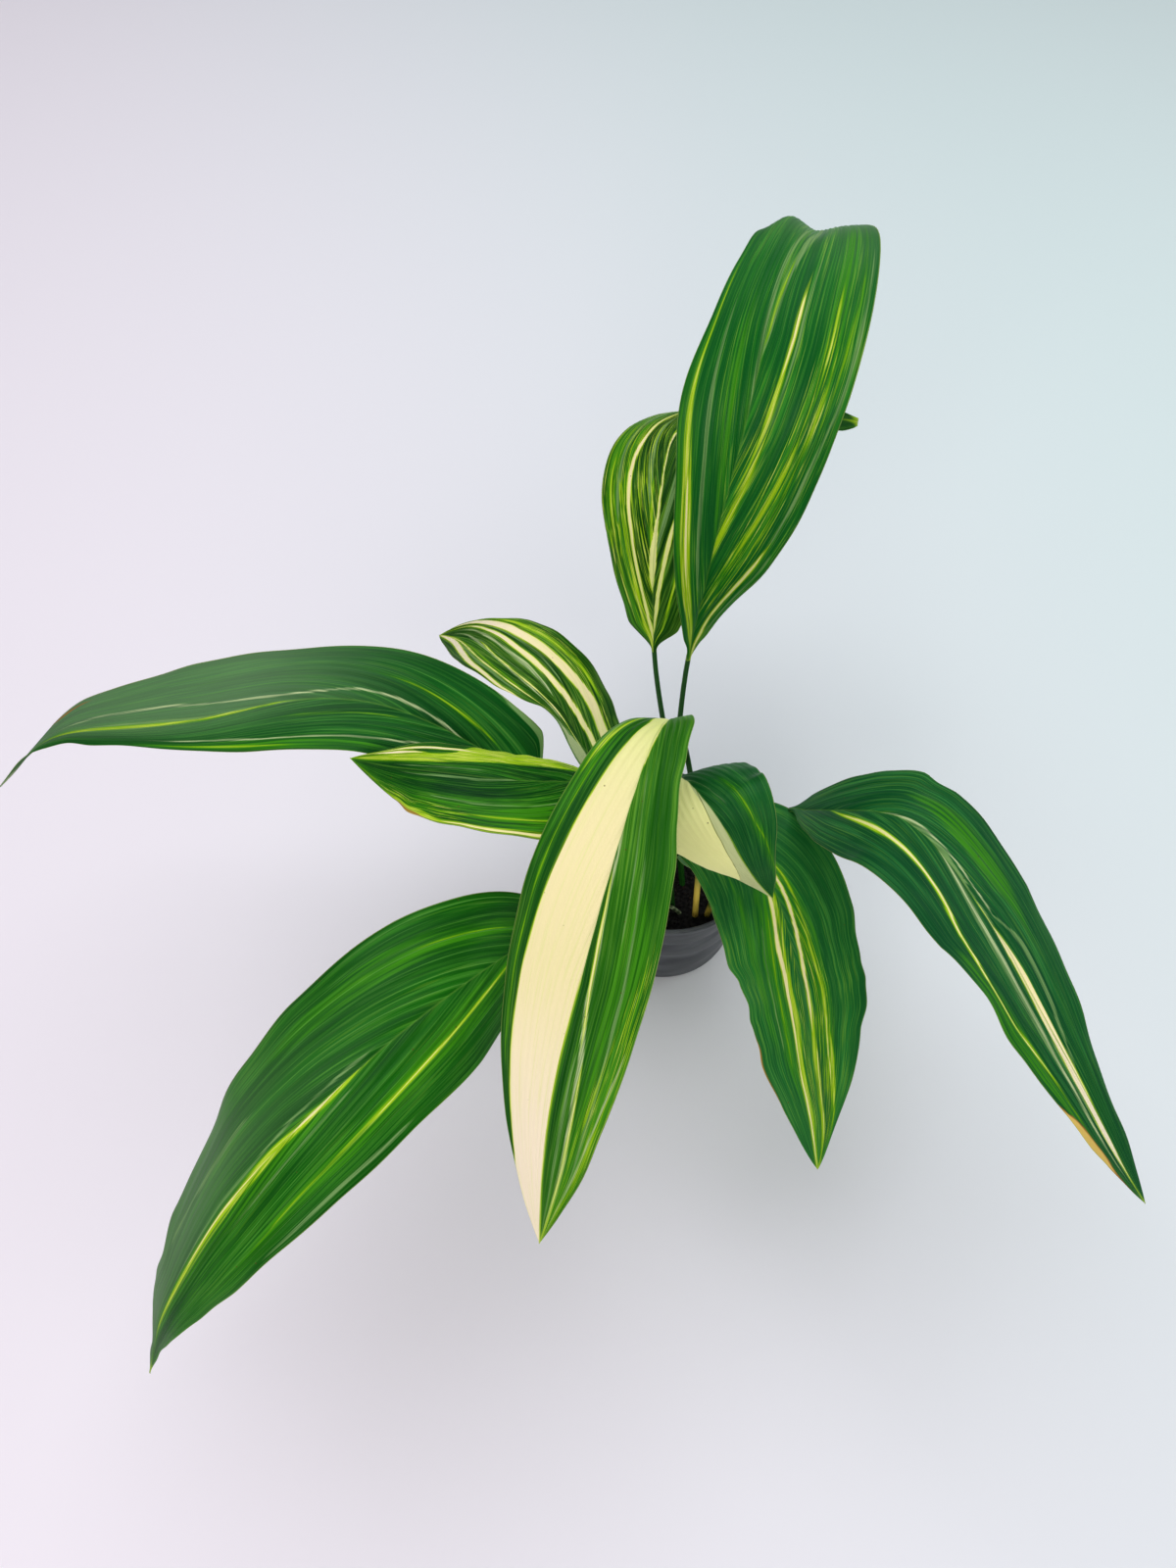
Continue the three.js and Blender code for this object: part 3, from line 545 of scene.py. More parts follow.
def along(line, distances, places):
    return np.stack([np.interp(places, distances, line[:, axis]) for axis in range(3)], -1)


def unit(vectors):
    return vectors / np.linalg.norm(vectors, axis=-1, keepdims=True)


def smoothStep(values, low, high):
    share = np.clip((values - low) / (high - low), 0, 1)
    return share * share * (3 - 2 * share)


def fanOf(share):
    # Veins leave the midrib one after another. This is the first vein still inside it.
    return leafForm["fanStart"] * np.maximum(0, 1 - share / leafForm["fanEnd"]) ** leafForm["fanPower"]


def halfWidthOf(plan, share):
    base, tip = plan["tapers"]
    widest = base / (base + tip)
    peak = widest ** base * (1 - widest) ** tip
    share = np.clip(share, 0, 1)
    outline = share ** base * (1 - share) ** tip / peak
    width = plan["width"] / 2 * outline * (1 + plan["lean"] * np.sin(2 * np.pi * share))
    return np.maximum(width, leafForm["tipHalfWidth"])


def leafCourse(plan):
    # For each ring: centre, directions across and out, share of the blade, and height in stalk lengths.
    form = leafForm
    line = centreLine(plan["line"], form["lineSteps"])
    distances = np.concatenate([[0], np.cumsum(np.linalg.norm(np.diff(line, axis=0), axis=1))])
    collar = distances[2 * form["lineSteps"]]
    stalkPlaces = np.linspace(0, collar, form["stalkRings"], endpoint=False)
    even = np.linspace(0, 1, form["bladeRings"])
    closer = (1 - np.cos(np.pi * even)) / 2
    bladeShares = form["evenRings"] * even + (1 - form["evenRings"]) * closer
    share = np.concatenate([np.zeros(len(stalkPlaces)), bladeShares])
    places = np.concatenate([stalkPlaces, collar + (distances[-1] - collar) * bladeShares])
    centre = along(line, distances, places)
    tangent = unit(along(line, distances, places + 1) - along(line, distances, places - 1))

    heading = math.radians(plan["heading"])
    level = np.array([math.sin(heading), -math.cos(heading), 0])
    across = unit(level - (tangent @ level)[:, None] * tangent)
    out = np.cross(across, tangent)
    first, middle, last = plan["turn"]
    twist = np.radians(first * (1 - share) * (1 - 2 * share) + 4 * middle * share * (1 - share)
                       + last * share * (2 * share - 1))[:, None]
    turned = out * np.cos(twist) - across * np.sin(twist)
    across = across * np.cos(twist) + out * np.sin(twist)
    return centre, across, turned, share, places / collar


def leafReach(plan, share, v, half):
    # How far each column lies across the blade from its centre line.
    station = v + curveThrough(plan["midrib"], share, gliding=True)[:, None] * (1 - v ** 2)
    left, right = [curveThrough([(row[0], row[side]) for row in plan["edges"]], share)[:, None]
                   for side in (1, 2)]
    return half * station * (1 + plan["skew"] * np.sign(station)) + np.where(v < 0, -left, right) * v ** 2


def leafRise(plan, seed, t, v, half):
    # How far each place rises from the centre line: fold, curl, waves, margin ripples, pleats and bumps.
    form = leafForm
    waveHeight, waves, wavePhase = plan["wave"]
    wave = waveHeight * np.abs(v) ** 3 * np.sin(np.pi * t) * np.sin(2 * np.pi * waves * t + wavePhase + v)
    rippleTurn = 2 * np.pi * form["ripples"] * t + seed + form["rippleLean"] * v
    ripple = form["rippleHeight"] * v ** 6 * np.sin(np.pi * t) * np.sin(rippleTurn)
    vein = fanOf(t) + (1 - fanOf(t)) * np.abs(v)
    settle = smoothStep(t, *form["pleatRise"]) * (1 - smoothStep(t, *form["pleatFade"]))
    pleat = form["pleatHeight"] * np.cos(2 * np.pi * form["pleats"] * vein + seed) * settle * (1 - v ** 6)
    fold = np.abs(v) * half * math.sin(math.radians(plan["fold"]))
    rise = fold - plan["curl"] * half * v ** 2 + wave + ripple + pleat
    for place, side, height, lengthwise, crosswise in plan.get("bumps", []):
        rise = rise + height * np.exp(-((t - place) / lengthwise) ** 2 - ((v - side) / crosswise) ** 2)
    return rise


def leafSurface(plan, seed):
    # The upper and lower face as [ring, column, xyz], and what is known of the rings and columns.
    # Here t is the share of the blade, and v runs across it, -1 at the left margin and 1 at the right.
    form = leafForm
    centre, across, out, share, stalkShare = leafCourse(plan)
    even = np.linspace(-1, 1, 2 * form["halfColumns"] + 1)
    closer = np.abs(even) ** 1.5
    column = np.sign(even) * (form["evenColumns"] * np.abs(even) + (1 - form["evenColumns"]) * closer)
    t, v = share[:, None], column[None, :]
    half = halfWidthOf(plan, share)[:, None]
    reach = leafReach(plan, share, v, half) * math.cos(math.radians(plan["fold"]))
    rise = leafRise(plan, seed, t, v, half)

    fromRib = np.abs(v) * half
    fade = 1 - smoothStep(t, *form["ribFade"])
    groove = form["grooveDepth"] * fade * np.exp(-(fromRib / form["grooveWidth"]) ** 2)
    rib = form["ribDepth"] * fade * np.exp(-(fromRib / form["ribWidth"]) ** 2)
    thinTip = 1 - form["tipThinner"] * smoothStep(t, form["tipStart"], 1)
    halfBody = form["thickness"] / 2 * (1 - form["marginThinner"] * v ** 8) * thinTip

    # The stalk is a ring of the same columns, with a channel along its upper side.
    radius = np.interp(stalkShare, [0, 1], [form["footRadius"], form["topRadius"]])[:, None]
    blend = smoothStep(t, 0, form["blendShare"])
    angle = np.pi * (1 - (np.arange(len(column)) + 0.5) / len(column))[None, :]
    channel = 1 - form["channelDepth"] * np.exp(-((angle - np.pi / 2) / form["channelSpread"]) ** 2)
    faces = []
    for side, skin, hollow in ((1, rise + halfBody - groove, channel), (-1, rise - halfBody - rib, 1)):
        sideways = (1 - blend) * radius * np.cos(angle) + blend * reach
        outwards = (1 - blend) * side * radius * hollow * np.sin(angle) + blend * skin
        faces.append(centre[:, None, :] + across[:, None, :] * sideways[..., None]
                     + out[:, None, :] * outwards[..., None])
    underground = np.clip(stalkShare - 1, -plan.get("blanched", form["blanched"]), 0)
    return faces, share, underground, column, half[:, 0]


def makeLeaf(name, plan, materials, seed):
    (upper, lower), share, underground, column, half = leafSurface(plan, seed)
    rings, columns = upper.shape[:2]
    vertices = np.concatenate([upper.reshape(-1, 3), lower.reshape(-1, 3)]) * mm
    lowerStart = rings * columns
    ring, col = [grid.ravel() for grid in np.meshgrid(range(rings - 1), range(columns - 1), indexing="ij")]
    here = ring * columns + col
    top = np.stack([here, here + 1, here + 1 + columns, here + columns], 1)
    under = top[:, ::-1] + lowerStart
    step = np.arange(rings - 1) * columns
    leftRim = np.stack([step + lowerStart, step, step + columns, step + columns + lowerStart], 1)
    rightRim = leftRim[:, ::-1] + columns - 1
    across = np.arange(columns - 1)
    foot = np.stack([across + lowerStart, across + lowerStart + 1, across + 1, across], 1)
    tip = foot[:, ::-1] + (rings - 1) * columns
    faces = np.concatenate([top, under, leftRim, rightRim, foot, tip])
    isStalk = (faces % lowerStart // columns).max(1) < leafForm["stalkRings"] + 2
    leaf = meshObject(name, vertices, faces, materials, np.where(isStalk, 1, 0))

    # What the finish reads at each face corner: vein and share, then sizes in millimetres.
    corner = faces.ravel() % lowerStart
    cornerRing, cornerColumn = corner // columns, corner % columns
    share, half = share[cornerRing], half[cornerRing]
    fromRib = np.abs(column[cornerColumn])
    # A corner on the midrib belongs to the side of its own face.
    side = np.where(np.repeat(cornerColumn.reshape(-1, 4).mean(1), 4) >= (columns - 1) / 2, 1, -1)
    vein = side * (fanOf(share) + (1 - fanOf(share)) * fromRib)
    isUnder = np.arange(len(faces)) >= len(top)
    layer = leaf.data.uv_layers.new(name="veins")
    layer.data.foreach_set("uv", np.stack([(vein + 1) / 2, share], 1).astype(np.float32).ravel())
    fields = {"span": 2 * half / (1 - fanOf(share)), "rib": fromRib * half,
              "under": np.repeat(isUnder, 4), "stalk": underground[cornerRing]}
    for field, values in fields.items():
        attribute = leaf.data.attributes.new(field, "FLOAT", "CORNER")
        attribute.data.foreach_set("value", values.astype(np.float32))
    return leaf


# Finish of every leaf
leafTints = {name: linearColour(hexText) for name, hexText in {
    "creamGreen": "#e0e696", "cream": "#f1e6b2", "creamPale": "#f9ecd2", "creamFresh": "#f6f8ac",
    "lime": "#a4c81c", "limeDeep": "#5c9a0e", "limeCore": "#e0e47c", "glow": "#46920e", "deep": "#064a12",
    # Among these, #7f9c78 is painted sheen: the grey-green a blade reflects where it turns from the light.
    "pale": "#7fa266", "light": "#c0cf9c", "dull": "#7f9c78", "fleck": "#7fae3c", "veil": "#bfca98",
    "thread": "#6f7c34", "dry": "#dcbd66", "dryEdge": "#9a6a34", "rib": "#6f9c40", "margin": "#a9b870",
    "vein": "#5f9a44", "underside": "#8aa678", "speck": "#5a4522",
    "stalk": "#123f12", "stalkLight": "#2f6f24", "stalkPale": "#e9cf62", "stalkFoot": "#b07a2a"}.items()}
# Brown specks in the cream: millimetres between them, size as shares of that, and share left out.
speckPlan = {"apart": 11, "size": (0.03, 0.06), "strength": 0.7, "leftOut": 0.6}

# Streaks run along the veins: how many spots they count across the blade and along it, and their detail.
# Real veins lie closer. These are as coarse as they need to be to show. Each leaf's seed shifts them.
streakPlans = {"broad": (15, 1.6, 2), "fine": (70, 5, 3), "edge": (130, 11, 3), "hair": (190, 7, 2),
               "dash": (140, 9, 3), "cloud": (5, 4, 2)}
streakShift = (5.3, 3.7, 0)
stalkGrain = (1.1111, 1.1111, 16.6667)   # millimetres, long up the stalk

# A stripe narrows at its ends, and to nothing over the lead, a share of the blade. Its width curve
# stands a little above zero, so that it can also fall outside the stripe.
stripeEnds = {"lead": 0.06, "endWidth": 0.55, "outside": 0.02}

# How each layer is laid over the stripes of its tint. Its edge strays and softens by millimetres, and
# "share" is how thickly it is laid, or the streaks that break it up, as in the function paint.
stripeLayers = {
    "deep": {"stray": 4, "soft": 1.6, "share": 0.7},
    "glow": {"stray": 9, "soft": 3, "share": ("fine", 0.35, 0.65, 0.15, 0.8)},
    "halo": {"over": "lime", "tone": "glow",
             "stray": 7, "soft": 2.4, "share": ("fine", 0.3, 0.6, 0.2, 0.8)},
    "pale": {"stray": 2.4, "soft": 0.5, "share": ("fine", 0.35, 0.6, 0.35, 0.9)},
    "light": {"stray": 2.4, "soft": 0.5, "share": ("fine", 0.35, 0.6, 0.35, 0.9)},
    "lime": {"stray": 3.2, "soft": 0.5, "share": ("fine", 0.3, 0.5, 0.3, 1.0)},
    "mottle": {"stray": 8, "soft": 2, "share": ("dash", 0.53, 0.66, 0.0, 0.8)},
    "cream": {"stray": 1.3, "soft": 0.22, "share": 1.0},
    "veil": {"stray": 1.2, "soft": 0.4, "share": 0.8},
    "thread": {"stray": 0.3, "soft": 0.25, "share": 0.8},
    "dry": {"edge": "dash", "stray": 1.6, "soft": 0.3, "share": 1.0},
}


def stripeCurve(put, share, points):
    curve = put("ShaderNodeFloatCurve", {"Value": share}, output=None)
    line = curve.mapping.curves[0]
    line.points[0].location, line.points[1].location = points[0], points[-1]
    for place in points[1:-1]:
        line.points.new(*place)
    for point in line.points:
        point.handle_type = "AUTO_CLAMPED"
    curve.mapping.update()
    return curve.outputs[0]


def stripeDepth(put, read, points):
    # How far inside a stripe a place is, in millimetres, and negative outside it. Its ends are pointed.
    lead, endWidth, outside = stripeEnds.values()
    middles = [(t, (first + second + 2) / 4) for t, first, second in points]
    widths = [(t, (second - first) / 4 + outside) for t, first, second in points]
    if points[0][0] > 0:
        start, width = widths[0]
        widths[0] = (start, (width - outside) * endWidth + outside)
        widths.insert(0, (max(start - lead, 0.001), 0))
    if points[-1][0] < 1:
        end, width = widths[-1]
        widths[-1] = (end, (width - outside) * endWidth + outside)
        widths.append((min(end + lead, 0.999), 0))
    away = put("absolute", put("subtract", read["vein"], stripeCurve(put, read["share"], middles)))
    width = put("subtract", stripeCurve(put, read["share"], widths), outside)
    return put("multiply", put("subtract", width, away), read["span"])


def readLeaf(put, plan, seed):
    # All that the finish reads at a place: vein, share, sizes, streaks, and depth in each tint's stripes.
    veins = put("ShaderNodeUVMap", settings={"uv_map": "veins"})
    vein, share, _ = put("axes", veins).outputs
    read = {"vein": vein, "share": share}
    for key in ("span", "rib", "under"):
        read[key] = put("ShaderNodeAttribute", settings={"attribute_name": key}, output="Fac")
    for key, (across, lengthwise, detail) in streakPlans.items():
        stretched = put("ShaderNodeVectorMath", veins, (across, lengthwise, 1),
                        [seed * step for step in streakShift], settings={"operation": "MULTIPLY_ADD"})
        read[key] = put("noise", stretched, 1.0, detail, settings={"noise_dimensions": "2D"})
    read["patch"] = put("multiply_add", read["broad"], 0.6, put("multiply", read["cloud"], 0.4))
    outward = put("absolute", put("multiply_add", vein, 2, -1))
    read["toMargin"] = put("multiply", put("subtract", 1, outward), put("multiply", read["span"], 0.5))
    turn = put("multiply_add", outward, 2 * math.pi * leafForm["pleats"], seed)
    for key, perPleat in (("mainVein", 1), ("middleVein", 2), ("smallVein", 5)):
        read[key] = put("cosine", put("multiply", turn, perPleat))
    for tint, stripes in plan["bands"].items():
        depths = [stripeDepth(put, read, [[value / 100 for value in knot] for knot in stripe])
                  for stripe in stripes]
        read[tint] = reduce(partial(put, "maximum"), depths)
    return read


def paint(put, read, colour, tone, *shares):
    # Lays a tone, or the tint of that name, over a colour as thickly as the shares multiplied. A share is
    # a number, an output, or a ramp of one reading: (reading, low, high, share at low, share at high).
    thick = [put("ramp", read[share[0]], *share[1:]) if isinstance(share, tuple) else share
             for share in shares]
    tone = leafTints[tone] if isinstance(tone, str) else tone
    return put("mix", reduce(partial(put, "multiply"), thick), colour, tone)


def layStripes(put, read, layer, colour, tone=None):
    # Lays a layer over the stripes of its tint, if the leaf has any.
    form = stripeLayers[layer]
    tint = form.get("over", layer)
    if tint not in read:
        return colour
    stray = put("multiply_add", read[form.get("edge", "edge")], form["stray"], -form["stray"] / 2)
    inside = put("ramp", put("add", read[tint], stray), -form["soft"], form["soft"])
    return paint(put, read, colour, tone or form.get("tone", layer), inside, form["share"])


def paintGreen(lay, stripe, plan):
    # The green ground: patches, streaky lines, flecks, areas greyed by painted sheen, a glow beside stripes,
    # and veins.
    dark, light, streaky = [linearColour(value) for value in plan["greens"]]
    colour = lay(dark, light, ("patch", 0.28, 0.72))
    colour = lay(colour, streaky, ("fine", 0.47, 0.66), ("patch", 0.38, 0.62, 0.25, 0.7))
    colour = lay(colour, dark, ("edge", 0.34, 0.5, 0.4, 0.0))
    colour = stripe("deep", colour)
    colour = lay(colour, "fleck", ("dash", 0.52, 0.68, 0.0, plan["flecks"]), ("patch", 0.42, 0.6))
    # Painted sheen: grey-green laid over an area, standing in for the light the blade reflects there.
    if "dull" in plan:
        shareLow, shareHigh, veinLow, veinHigh, strength = plan["dull"]
        colour = lay(colour, "dull", ("share", shareLow, shareHigh, 0.0, strength),
                     ("vein", (veinLow + 1) / 2, (veinHigh + 1) / 2))
    colour = stripe("halo", stripe("glow", colour))
    colour = lay(colour, "vein", ("mainVein", 0.95, 1.0), ("broad", 0.35, 0.65, 0.08, plan["veins"]))
    colour = lay(colour, "vein", ("middleVein", 0.9, 1.0), ("fine", 0.4, 0.6, 0.0, 0.22))
    return lay(colour, "vein", ("hair", 0.6, 0.75, 0.0, 0.3))


def paintLime(lay, stripe, tints, colour):
    # Pale and yellow-green stripes. The yellow ones are deeper at their edges, and mottling is in flecks.
    colour = stripe("light", stripe("pale", colour))
    if "lime" in tints:
        tone = lay(leafTints["limeDeep"], "lime", ("lime", -0.4, 1.2))
        tone = lay(tone, "limeCore", ("lime", 0.3, 1.2), ("edge", 0.48, 0.6, 0.0, 0.6))
        tone = lay(tone, "limeDeep", ("fine", 0.32, 0.48, 0.65, 0.0))
        colour = stripe("lime", colour, tone)
    if "mottle" in tints:
        colour = stripe("mottle", colour, lay(leafTints["lime"], "limeCore", ("edge", 0.5, 0.7)))
    return colour


def paintCream(put, lay, stripe, fresh, colour):
    # Cream stripes with a lime rim, paler towards the tip, and a few brown specks over all.
    colour = lay(colour, "lime", ("cream", -1.1, -0.1), ("edge", 0.35, 0.55, 0.3, 1.0))
    tone = lay(leafTints["creamGreen"], "cream", ("share", 0.12, 0.42))
    tone = lay(tone, "creamPale", ("share", 0.55, 0.9))
    tone = lay(tone, "creamGreen", ("fine", 0.5, 0.75, 0.0, 0.5))
    tone = lay(tone, "limeCore", ("cream", 0.0, 0.8, 0.7, 0.0))
    tone = lay(tone, "creamFresh", fresh)
    colour = stripe("cream", colour, tone)
    cells = put("ShaderNodeTexVoronoi", {"Vector": put("place"), "Scale": 1 / (speckPlan["apart"] * mm)},
                settings={"voronoi_dimensions": "3D"}, output=None).outputs
    chance = put("ShaderNodeSeparateColor", cells["Color"])
    dot = put("ramp", cells["Distance"], *speckPlan["size"], speckPlan["strength"], 0.0)
    return lay(colour, "speck", dot, put("greater_than", chance, speckPlan["leftOut"]))


def leafMaterial(name, plan, seed):
    # Leathery leaf skin: satin wax over parallel veins, variegated where a vein's cells lack green.
    material, put = startMaterial(name)
    read = readLeaf(put, plan, seed)
    lay, stripe = partial(paint, put, read), partial(layStripes, put, read)
    colour = paintLime(lay, stripe, plan["bands"], paintGreen(lay, stripe, plan))
    colour = lay(colour, "underside", read["under"], 0.22)
    if "cream" in plan["bands"]:
        colour = paintCream(put, lay, stripe, plan.get("fresh", 0.0), colour)
    colour = stripe("thread", stripe("veil", colour))
    if "dry" in plan["bands"]:
        colour = stripe("dry", colour, lay(leafTints["dryEdge"], "dry", ("dry", 0.2, 1.4)))
    beforeTip = put("ramp", read["share"], 0.88, 0.96, 1.0, 0.2)
    colour = lay(colour, "margin", ("toMargin", 0.2, 0.6, 0.5, 0.0), beforeTip)
    colour = lay(colour, "rib", ("rib", 0.25, 0.8, 0.3, 0.0), beforeTip)

    gloss = put("ramp", read["fine"], 0.3, 0.7, 0.36, 0.52)
    height = put("multiply_add", read["smallVein"], 0.5, read["fine"])
    finishMaterial(put, {"Base Color": colour, "Roughness": put("multiply_add", read["under"], 0.15, gloss),
                         "Specular IOR Level": 0.14, "IOR": 1.45,
                         "Normal": put("bump", height, 0.35, 0.12 * mm)})
    return material


def stalkMaterial():
    # Stalk skin: dark green, smooth and faintly ribbed, pale yellow where the soil hid it from light.
    material, put = startMaterial("stalkSkin")
    underground = put("ShaderNodeAttribute", settings={"attribute_name": "stalk"}, output="Fac")
    stretched = put("ShaderNodeVectorMath", put("place"), [1 / (size * mm) for size in stalkGrain],
                    settings={"operation": "MULTIPLY"})
    grain = put("noise", stretched, 1.0, 2)
    green = put("mix", grain, leafTints["stalk"], leafTints["stalkLight"])
    colour = put("mix", put("ramp", underground, -0.8, -0.6), leafTints["stalkPale"], green)
    colour = put("mix", put("ramp", underground, -0.99, -0.88), leafTints["stalkFoot"], colour)
    finishMaterial(put, {"Base Color": colour, "Roughness": put("ramp", grain, 0.3, 0.7, 0.35, 0.55),
                         "Specular IOR Level": 0.3, "Normal": put("bump", grain, 0.3, 0.1 * mm)})
    return material


stalkSkin = stalkMaterial()
for number, (node, plan) in enumerate(leafPlans.items()):
    words = node.split("_")
    pieceName = words[0] + "".join(word.capitalize() for word in words[1:])
    seed = number * 1.7
    leaf = makeLeaf(pieceName, plan, [leafMaterial(pieceName + "Skin", plan, seed), stalkSkin], seed)
    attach(leaf, "root")
    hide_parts(node)
print("leaves made")

# Pot

potPlan = {
    "height": 122, "topRadius": 76, "baseRadius": 64, "wall": 1.4, "lipWidth": 2.5, "lipHeight": 5,
    "lipRounding": 0.7, "baseRounding": 4, "centreRadius": 8,
    "sides": 168, "wallRings": 48, "floorRings": 9,
    "folds": [{"height": 86, "spread": 6, "sway": 5, "perTurn": 2, "start": 1},
              {"height": 46, "spread": 8, "sway": 6, "perTurn": 3, "start": 0}],
    "foldDepth": 1.8, "wrinkleDepth": 0.6, "wrinklesAround": 2.2, "wrinklesUp": 0.055,
    "drainHoles": 8, "drainRadius": 4.5, "drainRing": 50, "drainSides": 24, "drainSpan": (-2, 4),
    "colour": "#3e4145", "dust": "#8b8f92", "scuffSize": 62.5, "scuffFlatness": 4, "grainSize": 1.1111,
}


def turns(count, start=0.0):
    # Even angles round a circle.
    return [2 * math.pi * (step + start) / count for step in range(count)]


def polar(radius, angle, height):
    return radius * math.cos(angle), radius * math.sin(angle), height


def turnedMesh(name, columns, foot, top, materials, smooth=True):
    # A closed skin over columns of points around an axis, each from its foot to its top, in millimetres.
    count = len(columns[0])
    points = [tuple(point) for column in columns for point in column] + [tuple(foot), tuple(top)]
    faces = []
    for step in range(len(columns)):
        here, there = step * count, (step + 1) % len(columns) * count
        faces.append((len(points) - 2, there, here))
        faces.append((here + count - 1, there + count - 1, len(points) - 1))
        faces += [(here + i, there + i, there + i + 1, here + i + 1) for i in range(count - 1)]
    return meshObject(name, np.array(points) * mm, faces, materials, smooth=smooth)


def plainCopy(thing, name):
    # The evaluated mesh as a plain object of its own.
    bpy.context.view_layer.update()
    evaluated = thing.evaluated_get(bpy.context.evaluated_depsgraph_get())
    mesh = bpy.data.meshes.new_from_object(evaluated)
    mesh.name = name
    copy = bpy.data.objects.new(name, mesh)
    bpy.context.scene.collection.objects.link(copy)
    return copy


def foldInset(plan, height, angle):
    # How far the soft wall is pressed in by its two creases and by faint wrinkles.
    inset = 0
    for fold in plan["folds"]:
        middle = fold["height"] + fold["sway"] * math.sin(fold["perTurn"] * angle + fold["start"])
        inset += plan["foldDepth"] * math.exp(-((height - middle) / fold["spread"]) ** 2)
    place = polar(plan["wrinklesAround"], angle, height * plan["wrinklesUp"])
    return inset + plan["wrinkleDepth"] * noise.noise(Vector(place))


def potProfile(plan):
    # Radius and height up the outside, over the lip, down the inside and across the floor.
    base, height, wall = plan["baseRadius"], plan["height"], plan["wall"]
    slope = (plan["topRadius"] - base) / height
    rounding, corner = plan["baseRounding"], plan["lipRounding"]
    lipBottom = height - plan["lipHeight"]
    lipOut = plan["topRadius"] + plan["lipWidth"]
    mouth = plan["topRadius"] - wall
    levels = np.linspace(rounding + 2, lipBottom - 1, plan["wallRings"])
    floorRadii = np.linspace(plan["centreRadius"], base - rounding, plan["floorRings"])
    profile = [(radius, 0) for radius in floorRadii]
    for turn in np.radians((22, 45, 67)):
        profile.append((base - rounding + rounding * math.sin(turn), rounding * (1 - math.cos(turn))))
    profile += [(base + slope * z, z) for z in (rounding, *levels, lipBottom)]
    profile += [(lipOut - corner, lipBottom), (lipOut, lipBottom + corner), (lipOut, height - corner),
                (lipOut - corner * 0.3, height - corner * 0.3), (lipOut - corner, height),
                (mouth + corner, height), (mouth, height - corner)]
    profile += [(base + slope * z - wall, z) for z in (*levels[::-1], rounding)]
    return profile + [(radius, wall) for radius in floorRadii[::-1]]


def potMaterial(plan):
    # Blow-moulded black polyethylene: dull, with a faint uneven film of dust.
    material, put = startMaterial("blackPolyethylene")
    x, y, z = put("axes", put("place")).outputs
    flat = put("ShaderNodeCombineXYZ", x, y, put("multiply", z, plan["scuffFlatness"]))
    scuff = put("noise", flat, 1 / (plan["scuffSize"] * mm), 3)
    grain = put("noise", put("place"), 1 / (plan["grainSize"] * mm), 2)
    dusty = put("ramp", scuff, 0.4, 0.75, 0.0, 0.45)
    colour = put("mix", dusty, linearColour(plan["colour"]), linearColour(plan["dust"]))
    finishMaterial(put, {"Base Color": colour, "Roughness": put("ramp", scuff, 0.3, 0.7, 0.3, 0.5),
                         "IOR": 1.5, "Specular IOR Level": 0.4,
                         "Normal": put("bump", grain, 0.25, 0.08 * mm)})
    return material


def makePot(plan):
    wallFoot, wallTop = plan["baseRounding"], plan["height"] - plan["lipHeight"]
    profile = potProfile(plan)
    columns = []
    for angle in turns(plan["sides"]):
        insets = [foldInset(plan, z, angle) if wallFoot < z < wallTop else 0 for _, z in profile]
        columns.append([polar(radius - inset, angle, z) for (radius, z), inset in zip(profile, insets)])
    solid = turnedMesh("potSolid", columns, (0, 0, 0), (0, 0, plan["wall"]), [potMaterial(plan)])
    cutters = []
    low, high = plan["drainSpan"]
    for place in turns(plan["drainHoles"], 0.5):
        x, y, _ = polar(plan["drainRing"], place, 0)
        ring = [polar(plan["drainRadius"], angle, 0) for angle in turns(plan["drainSides"])]
        columns = [[(x + right, y + back, z) for z in (low, high)] for right, back, _ in ring]
        cutters.append(turnedMesh("drainCutter", columns, (x, y, low), (x, y, high), [], smooth=False))
    for cutter in cutters:
        modifier = solid.modifiers.new("drain", "BOOLEAN")
        modifier.object = cutter
        modifier.solver = "EXACT"
    pot = plainCopy(solid, "nurseryPot")
    for spare in (solid, *cutters):
        bpy.data.objects.remove(spare)
    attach(pot, "root")
    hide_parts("pot")


makePot(potPlan)
print("pot made")

# Soil, with crumbs, bark and splinters scattered over it

soilPlan = {
    "top": 101, "sink": 1.2, "gap": 0.7, "wallLevels": (12, 94, 14), "rings": 46, "sides": 132,
    "moundHeight": 2, "moundLength": 10, "clumpHeight": 2.2, "clumpSize": 9, "clumpLayer": 0,
    "grainHeight": 0.8, "grainSize": 2.6, "grainLayer": 7,
    "dark": "#060505", "brown": "#14100c", "patchSize": 3,
}
# Sizes are millimetres across a chip.
scatterPlans = [
    {"name": "soilCrumbs", "perSquareMetre": 90000, "smallest": 0.7, "largest": 2.4,
     "stretch": (1, 0.9, 0.8), "seed": 3, "colours": ("#060505", "#1c140e")},
    {"name": "barkChips", "perSquareMetre": 9000, "smallest": 2.2, "largest": 5.2,
     "stretch": (1, 0.6, 0.28), "seed": 11, "colours": ("#120c08", "#33241a")},
    {"name": "paleSplinters", "perSquareMetre": 1500, "smallest": 1.6, "largest": 3.6,
     "stretch": (1.6, 0.28, 0.2), "seed": 23, "colours": ("#3a2f22", "#7d6d54")},
]
# Chips lie only on faces that look up, above the soil's sides. "jagged" is how far their corners move,
# in parts of the smallest radius, in a pattern of "jagSize".
chipForm = {"leastUpward": 0.3, "leastHeight": 80, "tilt": 0.5, "jagged": 1.6, "jagSize": 1.1111,
            "patchSize": 2}


